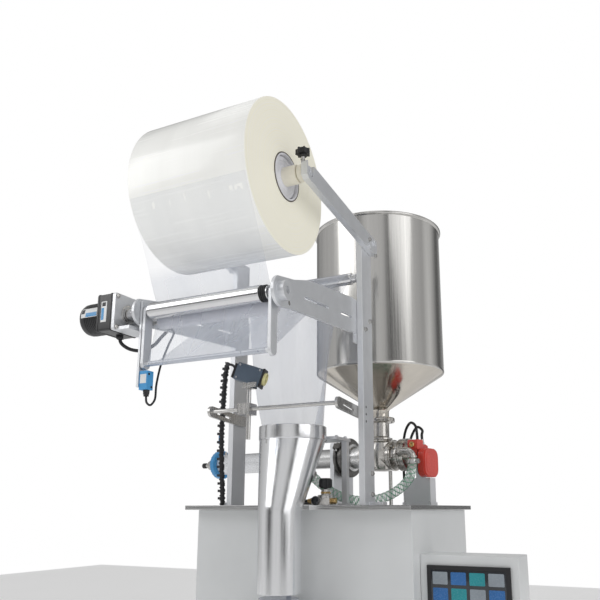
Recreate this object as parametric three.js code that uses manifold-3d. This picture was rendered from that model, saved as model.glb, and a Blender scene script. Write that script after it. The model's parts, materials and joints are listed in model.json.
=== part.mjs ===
// Vertical form fill sealer for liquids and pastes: a film reel, a forming funnel with sealing jaws below it,
// and a hopper with a piston filler behind. Millimetres, +Z up, front towards -Y.
// The machine is drawn with the film's centre plane at x = 0, the posts' front faces at y = 0 and the deck's top
// at z = 0, then moved so that the origin is at the middle of its base.
import * as THREE from "three";
import { mergeVertices } from "three/addons/utils/BufferGeometryUtils.js";
import Module from "manifold-3d";

const wasm = await Module();
wasm.setup();

// ---- driving dimensions --------------------------------------------------------------------------------------
const DECK_HEIGHT = 1050; // floor to deck top
const DECK = { halfX: 250, front: -15, back: 420, thick: 9 };
const CABINET = { halfX: 240, front: 20, back: 400, bottom: -990, wall: 3 };
const GAP = 0.3; // clearance between neighbouring pieces

const FILM = { width: 240, thick: 0.4 };
const ROLL = { y: -250, z: 564, radius: 138, coreRadius: 44, coreBore: 39 };
const POST = { inner: 144, outer: 156, depth: 50, height: 535 };
const ARM = { thick: 12, height: 34, front: -265, back: 55 };

const DRIVE = { y: -305, z: 334, radius: 15, shaft: 6 };
const NIP = { y: -278, z: 321, radius: 14 };
const IDLER = { y: 25, z: 460, radius: 12 };
const DANCER = { x: 128, barZ: 239, barRadius: 4.5 };

const RING = { y: 0, top: 154, bottom: 129, radius: 67 };
const TUBE = { y: -49, radius: 42, top: -10, bottom: -160 };
const BAG = { radius: 38, flatX: 60, sealed: 0.7, filled: 11 }; // the film tube's half widths

const HOPPER = { x: 88, y: 265, rim: 650, radius: 149, seam: 300, coneEnd: 217, outlet: 193, outletRadius: 19 };
const PUMP = { z: 111, yaw: THREE.MathUtils.degToRad(12) };

const REGULATOR = { x: 54, y: 40 };
const JAW = { z: -500, open: 25, rodX: 100, rodRadius: 8 };
const WHEEL = { x: 68.6, radius: 30, shaft: 6, z: -235 };
const SEALER = { plunger: 10 };
const PANEL = { left: 240.3, right: 420, front: 60, back: 150, bottom: -330, top: -90 };

const HOSE_RADIUS = 9.75;
const HOSE_ROUTE = [
  [186.7, 190.9, 98],
  [186.7, 190.9, 86],
  [184.5, 189, 70],
  [177, 184, 51],
  [159, 175, 32],
  [135, 163, 17.5],
  [106, 152, 10.4],
  [74, 142, 10.4],
  [42, 129, 20],
  [18, 112, 37],
  [4, 92, 55],
  [0, 76, 63],
  [0, 62, 65],
];

// ---- geometry helpers ----------------------------------------------------------------------------------------
const STEEL = { color: 0xb8b9bb, roughness: 0.3, metalness: 1 };
const POLISHED = { color: 0xd0d1d3, roughness: 0.15, metalness: 1 };
const ALUMINIUM = { color: 0xc6c9cf, roughness: 0.4, metalness: 0.9 };
const BLACK = { color: 0x17181a, roughness: 0.45, metalness: 0 };
const RUBBER = { color: 0x2a2a2c, roughness: 0.8, metalness: 0 };
const CREAM = { color: 0xf0ead2, roughness: 0.5, metalness: 0 };
const CLEAR_FILM = { color: 0xe4e8f2, roughness: 0.15, metalness: 0, transparent: true, opacity: 0.4 };
const PAINT = { color: 0xd9dbdc, roughness: 0.5, metalness: 0.1 };
const RED = { color: 0xe2382c, roughness: 0.4, metalness: 0 };
const BLUE = { color: 0x1f86c8, roughness: 0.4, metalness: 0 };
const SLATE = { color: 0x5e6d7d, roughness: 0.5, metalness: 0 };
const HOSE_PVC = { color: 0xd5efe2, roughness: 0.2, metalness: 0, transparent: true, opacity: 0.6 };
const SCREEN = { color: 0x101418, roughness: 0.1, metalness: 0 };
const GREEN = { color: 0x1f9d55, roughness: 0.4, metalness: 0 };

function manifoldOf(geometry) {
  const bare = geometry.index ? geometry.toNonIndexed() : geometry.clone();
  for (const name of Object.keys(bare.attributes)) if (name !== "position") bare.deleteAttribute(name);
  const merged = mergeVertices(bare, 1e-3);
  return new wasm.Manifold(
    new wasm.Mesh({
      numProp: 3,
      vertProperties: merged.attributes.position.array,
      triVerts: new Uint32Array(merged.index.array),
    }),
  );
}

function geometryOf(solid) {
  const mesh = solid.getMesh();
  return new THREE.BufferGeometry()
    .setAttribute("position", new THREE.BufferAttribute(new Float32Array(mesh.vertProperties), 3))
    .setIndex(new THREE.BufferAttribute(new Uint32Array(mesh.triVerts), 1));
}

const join = (first, ...others) =>
  geometryOf(others.reduce((whole, part) => whole.add(manifoldOf(part)), manifoldOf(first)));
const cut = (body, ...tools) =>
  geometryOf(tools.reduce((whole, tool) => whole.subtract(manifoldOf(tool)), manifoldOf(body)));

// A box between two x, two y and two z values.
function block([x0, x1], [y0, y1], [z0, z1]) {
  return new THREE.BoxGeometry(x1 - x0, y1 - y0, z1 - z0).translate((x0 + x1) / 2, (y0 + y1) / 2, (z0 + z1) / 2);
}

// A solid of revolution about +Z. The profile is a list of [radius, z], starting and ending on the axis,
// or going round and closing on itself; it runs with the solid on its left, so that faces point out.
function turned(profile, segments = 32) {
  return new THREE.LatheGeometry(profile.map(([r, z]) => new THREE.Vector2(r, z)), segments).rotateX(Math.PI / 2);
}

// Steps of a stepped round bar: [radius, from z, to z], in order of z.
function stepped(steps, segments = 24) {
  const profile = [[0, steps[0][1]]];
  for (const [radius, low, high] of steps) profile.push([radius, low], [radius, high]);
  profile.push([0, steps[steps.length - 1][2]]);
  return turned(profile, segments);
}

// A round pipe from low to high z with an inner and an outer radius.
function pipe(outer, inner, low, high, segments = 32) {
  return turned([[inner, low], [outer, low], [outer, high], [inner, high], [inner, low]], segments);
}

const rod = (radius, low, high, segments = 20) => stepped([[radius, low, high]], segments);
const alongX = (geometry, y = 0, z = 0) => geometry.rotateY(Math.PI / 2).translate(0, y, z);
const alongY = (geometry, x = 0, z = 0) => geometry.rotateX(-Math.PI / 2).translate(x, 0, z);

// A flat plate whose outline is in the YZ plane, from x0 to x1; outline points are [y, z].
function sidePlate(outline, x0, x1) {
  const shape = new THREE.Shape(outline.map(([y, z]) => new THREE.Vector2(y, z)));
  return new THREE.ExtrudeGeometry(shape, { depth: x1 - x0, bevelEnabled: false })
    .applyMatrix4(new THREE.Matrix4().makeBasis(
      new THREE.Vector3(0, 1, 0),
      new THREE.Vector3(0, 0, 1),
      new THREE.Vector3(1, 0, 0),
    ))
    .translate(x0, 0, 0);
}

// Points on an arc about [cy, cz], from one angle to another in degrees, measured from +Y towards +Z.
function arc(cy, cz, radius, from, to, steps) {
  return Array.from({ length: steps + 1 }, (_, i) => {
    const angle = THREE.MathUtils.degToRad(from + ((to - from) * i) / steps);
    return [cy + radius * Math.cos(angle), cz + radius * Math.sin(angle)];
  });
}

// A round cord or pipe along a smooth curve through the points.
function tubeAlong(points, radius, sides, steps, bore = 0) {
  const circle = new THREE.Shape().absarc(0, 0, radius, 0, 2 * Math.PI, false);
  if (bore) circle.holes.push(new THREE.Path().absarc(0, 0, bore, 0, 2 * Math.PI, true));
  const path = new THREE.CatmullRomCurve3(points.map((p) => new THREE.Vector3(...p)), false, "centripetal");
  const curveSegments = sides / 2;
  return new THREE.ExtrudeGeometry(circle, { steps, curveSegments, extrudePath: path, bevelEnabled: false });
}

// A skin through closed sections at rising z. Each section is {y, z, rx, ry}, and wall is the skin's thickness,
// or 0 for a solid.
function lofted(sections, wall, segments = 36) {
  const ringPoint = ({ y, z, rx, ry }, inset, i) => {
    const angle = (2 * Math.PI * i) / segments;
    return [(rx - inset) * Math.cos(angle), y + (ry - inset) * Math.sin(angle), z];
  };
  const rings = sections.map((s) => (i) => ringPoint(s, 0, i));
  if (wall) rings.push(...sections.slice().reverse().map((s) => (i) => ringPoint(s, wall, i)));
  const triangles = [];
  const quad = (a, b, c, d) => triangles.push(a, b, c, a, c, d);
  const bands = wall ? rings.length : rings.length - 1;
  for (let k = 0; k < bands; k++) {
    const low = rings[k];
    const high = rings[(k + 1) % rings.length];
    for (let i = 0; i < segments; i++) quad(low(i), low(i + 1), high(i + 1), high(i));
  }
  if (!wall) {
    const [first, last] = [sections[0], sections[sections.length - 1]];
    for (let i = 0; i < segments; i++) {
      triangles.push([0, first.y, first.z], rings[0](i + 1), rings[0](i));
      triangles.push([0, last.y, last.z], rings[rings.length - 1](i), rings[rings.length - 1](i + 1));
    }
  }
  return new THREE.BufferGeometry().setAttribute(
    "position",
    new THREE.Float32BufferAttribute(triangles.flat(), 3),
  );
}

// A thin sheet that follows centre points [y, z, half width], made solid by the film's thickness.
function filmSheet(centre) {
  const half = FILM.thick / 2;
  const rows = centre.map(([y, z, w], i) => {
    const [y0, z0] = centre[Math.max(i - 1, 0)];
    const [y1, z1] = centre[Math.min(i + 1, centre.length - 1)];
    const length = Math.hypot(y1 - y0, z1 - z0);
    const [ny, nz] = [(-(z1 - z0) / length) * half, ((y1 - y0) / length) * half];
    return [[-w, y + ny, z + nz], [w, y + ny, z + nz], [w, y - ny, z - nz], [-w, y - ny, z - nz]];
  });
  const triangles = [];
  const quad = (a, b, c, d) => triangles.push(a, b, c, a, c, d);
  for (let i = 0; i + 1 < rows.length; i++)
    for (let k = 0; k < 4; k++) quad(rows[i][k], rows[i][(k + 1) % 4], rows[i + 1][(k + 1) % 4], rows[i + 1][k]);
  const last = rows[rows.length - 1];
  quad(rows[0][3], rows[0][2], rows[0][1], rows[0][0]);
  quad(last[0], last[1], last[2], last[3]);
  const sheet = new THREE.BufferGeometry().setAttribute(
    "position",
    new THREE.Float32BufferAttribute(triangles.flat(), 3),
  );
  return manifoldOf(sheet).volume() < 0 ? flipped(sheet) : sheet;
}

function flipped(geometry) {
  const p = geometry.getAttribute("position");
  for (let i = 0; i < p.count; i += 3) {
    const [x, y, z] = [p.getX(i), p.getY(i), p.getZ(i)];
    p.setXYZ(i, p.getX(i + 1), p.getY(i + 1), p.getZ(i + 1));
    p.setXYZ(i + 1, x, y, z);
  }
  return geometry;
}

// A hexagon bolt head or nut along +X, on a face at x.
const boltHead = (x, y, z, across = 6, height = 5) =>
  alongX(rod(across, x, x + height, 6), y, z);

const machine = new THREE.Group();
const SIDES = [["left", -1], ["right", 1]];

function add(name, geometry, finish, parent = machine) {
  const mesh = new THREE.Mesh(geometry, new THREE.MeshStandardMaterial(finish));
  mesh.name = name;
  parent.add(mesh);
  return mesh;
}

// Two x values on one side of the machine, lowest first.
const spanX = (side, a, b) => (side > 0 ? [a, b] : [-b, -a]);

// ---- cabinet, deck and feet ----------------------------------------------------------------------------------
function addCabinet() {
  const { halfX, front, back, bottom, wall } = CABINET;
  const top = -DECK.thick - GAP;
  const through = (radius, x) => alongY(rod(radius + 0.6, front - 1, front + wall + 1, 24), x, WHEEL.z);
  const shell = cut(
    block([-halfX, halfX], [front, back], [bottom, top]),
    block([-halfX + wall, halfX - wall], [front + wall, back + 1], [bottom + wall, top + 1]),
    through(SEALER.plunger, 0),
    ...SIDES.map(([, side]) => through(WHEEL.shaft, side * WHEEL.x)),
  );
  add("cabinet_shell", shell, PAINT);

  const doorPlate = block([-halfX + 6, halfX - 6], [back + GAP, back + 3 + GAP], [bottom + 6, top - 6]);
  const handle = block([halfX - 50, halfX - 34], [back + 3, back + 18], [-560, -440]);
  add("rear_door", join(doorPlate, handle), PAINT);

  const notch = rod(TUBE.radius + 14, -DECK.thick - 1, 1, 32).translate(0, TUBE.y, 0);
  const plate = block([-DECK.halfX, DECK.halfX], [DECK.front, DECK.back], [-DECK.thick, 0]);
  add("deck_plate", cut(plate, notch), STEEL);

  const footHeight = DECK_HEIGHT + bottom;
  let number = 1;
  for (const x of [-halfX + 35, halfX - 35])
    for (const y of [front + 35, back - 35]) {
      const foot = stepped([[25, 0, 12], [8, 12, footHeight - 14], [13, footHeight - 14, footHeight - GAP]], 16);
      add(`foot_${number}`, foot.translate(x, y, -DECK_HEIGHT), RUBBER);
      number += 1;
    }
}

// ---- posts, roll arms and side plates ------------------------------------------------------------------------
function addFrame() {
  const rise = (ROLL.z - 2 - 527) / (ARM.back - ROLL.y);
  const centreZ = (y) => 527 + (ARM.back - y) * rise;
  for (const [name, side] of SIDES) {
    const post = block(spanX(side, POST.inner, POST.outer), [0, POST.depth], [GAP, POST.height]);
    const base = block(spanX(side, POST.outer - 1, POST.outer + 26), [22, POST.depth - 2], [GAP, 6]);
    add(`post_${name}`, join(post, base), ALUMINIUM);

    const [armIn, armOut] = spanX(side, POST.outer + GAP, POST.outer + GAP + ARM.thick);
    const half = ARM.height / 2;
    const outline = [
      [ARM.front, centreZ(ARM.front) - half + 6],
      [ARM.front + 8, centreZ(ARM.front) - half],
      [ARM.back - 8, centreZ(ARM.back) - half],
      [ARM.back, centreZ(ARM.back) - half + 8],
      [ARM.back, centreZ(ARM.back) + half - 8],
      [ARM.back - 8, centreZ(ARM.back) + half],
      [ARM.front + 4, centreZ(ARM.front) + half],
      [ARM.front, centreZ(ARM.front) + half - 4],
    ];
    const notchWidth = 10 + GAP;
    const notch = [
      ...arc(ROLL.y, ROLL.z, notchWidth, 180, 360, 10),
      [ROLL.y + notchWidth + 3, ROLL.z + 30],
      [ROLL.y - notchWidth - 3, ROLL.z + 30],
    ];
    const bar = cut(sidePlate(outline, armIn, armOut), sidePlate(notch, armIn - 1, armOut + 1));
    const headX = side > 0 ? armOut - 0.5 : armIn - 4.5;
    const bolts = [[38, 534], [12, 520]].map(([y, z]) => boltHead(headX, y, z, 6, 5));
    add(`roll_arm_${name}`, join(bar, ...bolts), ALUMINIUM);

    addSidePlate(name, side);
  }
}

function addSidePlate(name, side) {
  const [x0, x1] = spanX(side, 138, POST.inner - GAP);
  const outline = [
    ...arc(DRIVE.y, DRIVE.z, 26, 120, 280, 12),
    [-269, 313],
    [45, 337],
    [45, 400],
    [-20, 404],
    [-210, 381],
    [-262, 366],
  ];
  const slots = [[-225, -130], [-75, -25]].map(([from, to]) => {
    const z = (y) => 345 + (y + 225) * 0.085;
    const narrow = [[from, z(from) - 2.5], [to, z(to) - 2.5], [to, z(to) + 2.5], [from, z(from) + 2.5]];
    return sidePlate(narrow, x0 - 1, x1 + 1);
  });
  const bore = alongX(rod(8, x0 - 1, x1 + (side > 0 ? 0 : 1)), DRIVE.y, DRIVE.z);
  const nipBore = alongX(rod(4 + GAP, x0 - 1, x1 + 1), NIP.y, NIP.z);
  const tab = block([x0, x1], [-8, 8], [315, 337]);
  // The side away from the gearmotor has a capped bearing outside the plate.
  const cap = pipe(16, DRIVE.shaft + GAP, x1 - 1, x1 + 12, 20);
  const bearing = side > 0 ? [alongX(cap, DRIVE.y, DRIVE.z)] : [];
  const nuts = [[36, 385], [12, 352]].map(([y, z]) => boltHead(side > 0 ? x0 - 4.5 : x1 - 0.5, y, z, 5, 5));
  add(`side_plate_${name}`, cut(join(sidePlate(outline, x0, x1), tab, ...nuts, ...bearing), bore, nipBore, ...slots), ALUMINIUM);
}

// ---- film reel -----------------------------------------------------------------------------------------------
function addReel() {
  const half = FILM.width / 2;
  const place = (geometry) => alongX(geometry, ROLL.y, ROLL.z);
  add("film_roll", place(pipe(ROLL.radius, ROLL.coreRadius + GAP, -half, half, 64)), CREAM);
  add("film_core", place(pipe(ROLL.coreRadius, ROLL.coreBore, -half - 1, half + 1, 32)), CREAM);

  // The hub carries the core on two plugs and turns on the shaft.
  const plugs = [[17, -144, -116], [38, -116, -100], [17, -100, 100], [38, 100, 116], [17, 116, 144]];
  add("reel_hub", place(cut(stepped(plugs, 28), rod(10 + GAP, -150, 150, 20))), CREAM);

  // The shaft lies in the arms' notches, and on each side a bushing, locked by a screw, keeps the hub in place.
  const outward = [[12, 144 + GAP, 146], [15, 146, 155.6], [10, 155.6, 166]];
  const mirrored = outward.map(([r, low, high]) => [r, -high, -low]).reverse();
  const shaft = stepped([...mirrored, [10, -144 - GAP, 144 + GAP], ...outward], 20);
  const screwHole = rod(3 + GAP, ROLL.z + 10, ROLL.z + 20, 12).translate(151, ROLL.y, 0);
  add("roll_shaft", cut(place(shaft), screwHole), ALUMINIUM);

  const lobes = 7;
  const outline = Array.from({ length: lobes * 4 }, (_, i) => {
    const angle = (2 * Math.PI * i) / (lobes * 4);
    const radius = 11.5 + 1.8 * Math.cos(lobes * angle);
    return new THREE.Vector2(radius * Math.cos(angle), radius * Math.sin(angle));
  });
  const head = new THREE.ExtrudeGeometry(new THREE.Shape(outline), { depth: 9, bevelEnabled: false })
    .translate(0, 0, ROLL.z + 36);
  const stem = stepped([[3, ROLL.z + 10.5, ROLL.z + 30], [7, ROLL.z + 30, ROLL.z + 37]], 12);
  add("star_knob", join(head, stem).translate(151, ROLL.y, 0), BLACK);
}

// ---- drive rollers, gearmotor, dancer and idler --------------------------------------------------------------
function addRollers() {
  const drive = [[6, -180, -170], [11, -170, -148], [6, -148, -122.5], [12, -122.5, -119], [DRIVE.radius, -119, 108], [13.5, 108, 119],
    [12, 119, 122.5], [6, 122.5, 151]];
  add("drive_roller", alongX(stepped(drive, 24), DRIVE.y, DRIVE.z), POLISHED);
  const nip = [[4, -143, -119], [NIP.radius, -119, 119], [4, 119, 143]];
  add("nip_roller", alongX(stepped(nip, 20), NIP.y, NIP.z), RUBBER);
  const idler = [[6, -143.5, -134], [9, -134, -124], [IDLER.radius, -124, 124], [9, 124, 134], [6, 134, 143.5]];
  add("upper_idler", alongX(stepped(idler, 20), IDLER.y, IDLER.z), POLISHED);
}

function addGearmotor() {
  const { y, z } = DRIVE;
  const half = 34;
  const square = (x0, x1) => block([x0, x1], [y - half, y + half], [z - half, z + half]);
  // A square mounting plate, with a wall behind and a floor below that reach the side plate.
  const back = block([-175, -POST.inner - GAP], [y + 21, y + 29], [z - half, z + 30]);
  const floor = block([-175, -POST.inner - GAP], [y - 28, y + 29], [z - half, z - 28]);
  const bore = alongX(rod(DRIVE.shaft + 2, -190, -140), y, z);
  add("gearbox", cut(join(square(-181, -174), back, floor), bore), ALUMINIUM);
  const head = square(-216, -181 - GAP);
  const can = alongX(turned([[0, -268], [20, -268], [27, -265], [30, -257], [30, -215], [0, -215]], 24), y, z);
  add("gearmotor", join(head, can), BLACK);
  const route = [[-200, y + 10, z - 36], [-198, y + 12, z - 46], [-188, y + 22, z - 56], [-174, y + 42, z - 57],
    [-166, y + 70, z - 38]];
  add("motor_cable", tubeAlong(route, 3.2, 8, 12), BLACK);
}

function addDancer() {
  const armHalf = 10;
  const bars = [];
  for (const [, side] of SIDES) {
    const [x0, x1] = spanX(side, DANCER.x - 3, DANCER.x + 3);
    const outline = [
      ...arc(DRIVE.y, DRIVE.z, armHalf, 0, 180, 8),
      ...arc(DRIVE.y, DANCER.barZ, armHalf, 180, 360, 8),
    ];
    const bore = alongX(rod(DRIVE.shaft + 0.4, x0 - 1, x1 + 1), DRIVE.y, DRIVE.z);
    bars.push(cut(sidePlate(outline, x0, x1), bore));
  }
  const bar = alongX(rod(DANCER.barRadius, -DANCER.x - 1, DANCER.x + 1, 20), DRIVE.y, DANCER.barZ);
  add("dancer_frame", join(bars[0], bar, bars[1]), ALUMINIUM);

  const bracket = block([-137.4, -132.6], [DRIVE.y - 10, DRIVE.y + 10], [198, 352]);
  const clearance = alongX(rod(8, -139, -130), DRIVE.y, DRIVE.z);
  add("sensor_bracket", cut(bracket, clearance), ALUMINIUM);

  const body = block([-132.3, -115], [DRIVE.y - 8, DRIVE.y + 8], [192, 226]);
  const gland = rod(5, 182, 193, 14).translate(-122, DRIVE.y, 0);
  add("level_sensor", join(body, gland), BLUE);
  const loop = [[-122, DRIVE.y, 181.6], [-122, DRIVE.y + 2, 172], [-121, DRIVE.y + 10, 168], [-119, DRIVE.y + 19, 178],
    [-121, DRIVE.y + 24, 206], [-121.5, DRIVE.y + 34, 244], [-121.5, DRIVE.y + 52, 284], [-125, DRIVE.y + 70, 312],
    [-136, DRIVE.y + 76, 322]];
  add("sensor_cable", tubeAlong(loop, 1.9, 8, 22), BLACK);
}

// ---- photo-eye, guide rod and wiring harness -----------------------------------------------------------------
function addRegistration() {
  const rodY = -85;
  const rodZ = 184;
  const bar = alongX(rod(4, -143.5, 143.5, 16), rodY, rodZ);
  const brackets = SIDES.map(([, side]) => {
    const [x0, x1] = spanX(side, POST.inner - 6, POST.inner - GAP);
    const outline = [
      ...arc(rodY, rodZ, 11, 90, 270, 8),
      [10, rodZ - 18],
      [40, rodZ - 18],
      [40, rodZ + 4],
      [10, rodZ + 4],
    ];
    const slot = sidePlate([[-68, rodZ - 3], [-18, rodZ - 9], [-18, rodZ - 4], [-68, rodZ + 2]], x0 - 1, x1 + 1);
    return cut(sidePlate(outline, x0, x1), slot);
  });
  add("guide_rod", join(brackets[0], bar, brackets[1]), STEEL);

  const sensorX = -60;
  const clampBlock = block([sensorX - 14, sensorX + 14], [rodY - 9, rodY + 19], [rodZ - 11, rodZ + 11]);
  const crossBore = alongX(rod(4 + GAP, sensorX - 20, sensorX + 20, 16), rodY, rodZ);
  const upright = rod(4.5, 126, 226, 16).translate(sensorX, rodY + 11.5, 0);
  const knob = alongY(rod(6, 18, 30, 12), sensorX, rodZ).translate(0, rodY, 0);
  add("cross_clamp", join(cut(clampBlock, crossBore), upright, knob), STEEL);

  // The photo-eye looks across the film: its lens end points right, a little back and a little down.
  const housing = block([-31, 29], [-14, 14], [-18, 18]);
  const back = block([28, 32], [-15, 15], [-20, 19]);
  const lens = alongX(rod(13, 31, 37, 24));
  const tilt = THREE.MathUtils.degToRad(18);
  const turn = THREE.MathUtils.degToRad(19);
  const aim = (geometry) => geometry.rotateY(tilt).rotateZ(turn).translate(sensorX, rodY + 10, 255);
  const shoe = block([sensorX - 9, sensorX + 9], [rodY + 2, rodY + 20], [226.3, 246]);
  add("photo_eye", join(aim(join(housing, back, lens)), shoe), SLATE);

  const harness = [[-175, 18, 308], [-176, 12, 280], [-175, 6, 220], [-176, 4, 150], [-175, 6, 80], [-174, 10, 30],
    [-174, 12, 0.6]];
  add("wiring_harness", tubeAlong(harness, 6.5, 8, 14), BLACK);
}

// ---- forming funnel, fill tube and film tube -----------------------------------------------------------------
function addFormer() {
  const wall = 2;
  const circle = (y, z, r) => ({ y, z, rx: r, ry: r });
  const skin = lofted(
    [
      circle(TUBE.y, TUBE.bottom, TUBE.radius),
      circle(TUBE.y, TUBE.top, TUBE.radius),
      circle(RING.y, RING.bottom, RING.radius),
      circle(RING.y, RING.top, RING.radius),
    ],
    wall,
    32,
  );
  const band = pipe(RING.radius + 1.2, RING.radius - 1, RING.bottom, RING.top, 32).translate(0, RING.y, 0);
  const yoke = cut(
    block([-78, 78], [40, 112], [RING.bottom + 2, RING.bottom + 8]),
    rod(RING.radius - 1, RING.bottom - 5, RING.top + 5, 32).translate(0, RING.y, 0),
  );
  const legs = SIDES.map(([, side]) => block(spanX(side, 64, 76), [96, 108], [GAP, RING.bottom + 4]));
  const pipeHole = alongY(rod(18, 0, 90, 16), 0, 65);
  add("forming_funnel", cut(join(skin, band, yoke, ...legs), pipeHole), POLISHED);

  const elbow = [[0, 61.5, 65], [0, 30, 65], [0, -8, 62], [0, -36, 44], [0, -48, 10], [0, TUBE.y, -40], [0, TUBE.y, -150]];
  add("fill_tube", tubeAlong(elbow, 13, 12, 12, 11), STEEL);

  const film = [
    { y: TUBE.y, z: JAW.z - 130, rx: BAG.flatX, ry: BAG.sealed },
    { y: TUBE.y, z: JAW.z - 75, rx: BAG.flatX, ry: BAG.filled },
    { y: TUBE.y, z: JAW.z - 16, rx: BAG.flatX, ry: BAG.sealed },
    { y: TUBE.y, z: JAW.z + 16, rx: BAG.flatX, ry: BAG.sealed },
    { y: TUBE.y, z: JAW.z + 75, rx: BAG.flatX - 2, ry: BAG.filled },
    circle(TUBE.y, -300, BAG.radius),
    circle(TUBE.y, TUBE.bottom - 5, BAG.radius),
  ];
  add("film_tube", lofted(film, 0, 24), CLEAR_FILM);
}

// ---- film web ------------------------------------------------------------------------------------------------
function addWeb() {
  const half = FILM.width / 2 - 2;
  const gap = FILM.thick / 2 + GAP;
  const wide = (points) => points.map(([y, z]) => [y, z, half]);
  const driveArc = arc(DRIVE.y, DRIVE.z, DRIVE.radius + gap, 27.5, -23, 6);
  const nipArc = arc(NIP.y, NIP.z, NIP.radius + gap, 158, 168, 2);
  const barArc = arc(DRIVE.y, DANCER.barZ, DANCER.barRadius + gap, 176, 262, 5);
  const reelEnd = arc(ROLL.y, ROLL.z, ROLL.radius + gap, 207.3, 207.3, 1)[0];
  add("film_lead", filmSheet(wide([reelEnd, ...driveArc, ...nipArc, ...barArc])), CLEAR_FILM);

  const barRise = arc(DRIVE.y, DANCER.barZ, DANCER.barRadius + gap, 268, 318, 4);
  const idlerArc = arc(IDLER.y, IDLER.z, IDLER.radius + gap, 124, 0, 8);
  const runToFunnel = [[36, 400, half - 16], [30, 300, half - 36], [22, 200, 66], [16, RING.top + 4, 58]];
  add("film_run", filmSheet([...wide(barRise), ...wide(idlerArc), ...runToFunnel]), CLEAR_FILM);
}

// ---- hopper and piston filler --------------------------------------------------------------------------------
function addHopper() {
  const { radius: r, rim, seam, coneEnd, outlet, outletRadius: ro } = HOPPER;
  const wall = 2;
  const profile = [
    [ro - wall, outlet],
    [ro + 7, outlet],
    [ro + 7, outlet + 4],
    [ro, outlet + 6],
    [ro, coneEnd],
    [r, seam],
    [r, rim - 9],
    [r + 5, rim - 7],
    [r + 5, rim - 2],
    [r + 2, rim],
    [r - wall, rim],
    [r - wall, seam + 1],
    [ro - wall, coneEnd + 1],
    [ro - wall, outlet],
  ];
  add("hopper", turned(profile, 40).translate(HOPPER.x, HOPPER.y, 0), STEEL);
}

function addFiller() {
  const pump = new THREE.Group();
  pump.position.set(HOPPER.x, HOPPER.y, PUMP.z);
  pump.rotation.z = -PUMP.yaw;
  machine.add(pump);
  const X = (geometry) => alongX(geometry);

  // Valve body: an upright branch to the hopper, a round chest, and a flanged branch towards the actuator.
  const neckTop = HOPPER.outlet - PUMP.z - GAP;
  const upright = stepped([[36, -34, 30], [26, 30, 40], [22, 40, neckTop - 6], [26, neckTop - 6, neckTop]], 24);
  const flanges = [[24, 40, 56], [36, 56, 66], [33, 66, 67], [36, 67, 76], [24, 76, 85.7]];
  const chest = X(stepped([[33, -44, 40], ...flanges], 24));
  const elbow = [[68, -26, 0], [73, -43, 4], [86, -53, 4], [103, -53, 3], [112, -52, -6], [112, -52, -12.4]];
  const spigot = tubeAlong(elbow, 8, 12, 10);
  const bore = X(rod(21, -60, -10, 20));
  const rotorBore = X(stepped([[20 + GAP, -10.5, 46], [6 + GAP, 46, 90]], 20));
  const inlet = rod(15, 10, neckTop + 1, 20);
  add("valve_body", cut(join(upright, chest, spigot), bore, rotorBore, inlet), STEEL, pump);
  const port = block([-30, 30], [-14, 14], [0, 30]);
  add("valve_rotor", cut(X(stepped([[20, -8, 45], [6, 45, 102]], 20)), port), STEEL, pump);

  // Barrel with its clamp ring, carried by an upright plate.
  const ringSteps = [[46, -108, -100], [40, -100, -92], [46, -92, -84]];
  const flange = X(stepped([[32, -84, -44.6]], 24));
  const barrelTube = X(pipe(23, 19.5, -230, -110, 24));
  const carrier = block([-120, -108], [-38, 38], [-PUMP.z + GAP, 34]);
  const shell = join(barrelTube, carrier, X(stepped(ringSteps, 24)), flange);
  add("filler_barrel", cut(shell, X(rod(19.5, -240, -40, 24))), STEEL, pump);

  // Air cylinder behind the barrel, on a low saddle, and its blue end cap.
  const cylinder = X(stepped([[27, -520, -240.3]], 24));
  const saddle = block([-330, -300], [-18, 18], [-PUMP.z + GAP, -20]);
  const cylinderBore = X(rod(22, -524, -246, 24));
  const rodBore = X(rod(8.5, -250, -236, 20));
  add("air_cylinder", cut(join(cylinder, saddle), cylinderBore, rodBore), ALUMINIUM, pump);
  const cap = X(stepped([[13, -574, -554], [20, -554, -536], [38, -536, -520.4]], 24));
  add("cylinder_cap", cut(cap, X(rod(5.5, -580, -515, 16))), BLUE, pump);
  const piston = [[5, -600, -508], [21.6, -508, -488], [8, -488, -120], [19, -120, -92]];
  add("pump_piston", X(stepped(piston, 24)), STEEL, pump);

  // Rotary actuator: a small box and a large square cap with rounded corners on its end.
  const box = block([86, 109], [-26, 22], [-30, 20]);
  const shaftHole = X(rod(6 + GAP, 80, 110, 16));
  const ear = block([88, 112], [-30, -4], [8, 30]);
  const corner = 14;
  const halfCap = 31;
  const square = new THREE.Shape();
  square.moveTo(-halfCap + corner, -halfCap);
  square.lineTo(halfCap - corner, -halfCap);
  square.absarc(halfCap - corner, -halfCap + corner, corner, -Math.PI / 2, 0);
  square.lineTo(halfCap, halfCap - corner);
  square.absarc(halfCap - corner, halfCap - corner, corner, 0, Math.PI / 2);
  square.lineTo(-halfCap + corner, halfCap);
  square.absarc(-halfCap + corner, halfCap - corner, corner, Math.PI / 2, Math.PI);
  square.lineTo(-halfCap, -halfCap + corner);
  square.absarc(-halfCap + corner, -halfCap + corner, corner, Math.PI, 1.5 * Math.PI);
  const capPlate = new THREE.ExtrudeGeometry(square, { depth: 18, bevelEnabled: false, curveSegments: 5 })
    .rotateY(Math.PI / 2)
    .translate(112, 0, -20);
  const neck = X(rod(24, 107, 113, 24)).translate(0, 0, -14);
  add("actuator", cut(join(box, ear, neck, capPlate), shaftHole), RED, pump);

  const stand = block([54, 126], [-2, 26], [-PUMP.z + GAP, -52]);
  const web = block([87, 103], [4, 20], [-54, -30.3]);
  add("actuator_stand", cut(join(stand, web), X(rod(36 + GAP, 40, 77, 24))), ALUMINIUM, pump);
}

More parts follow.
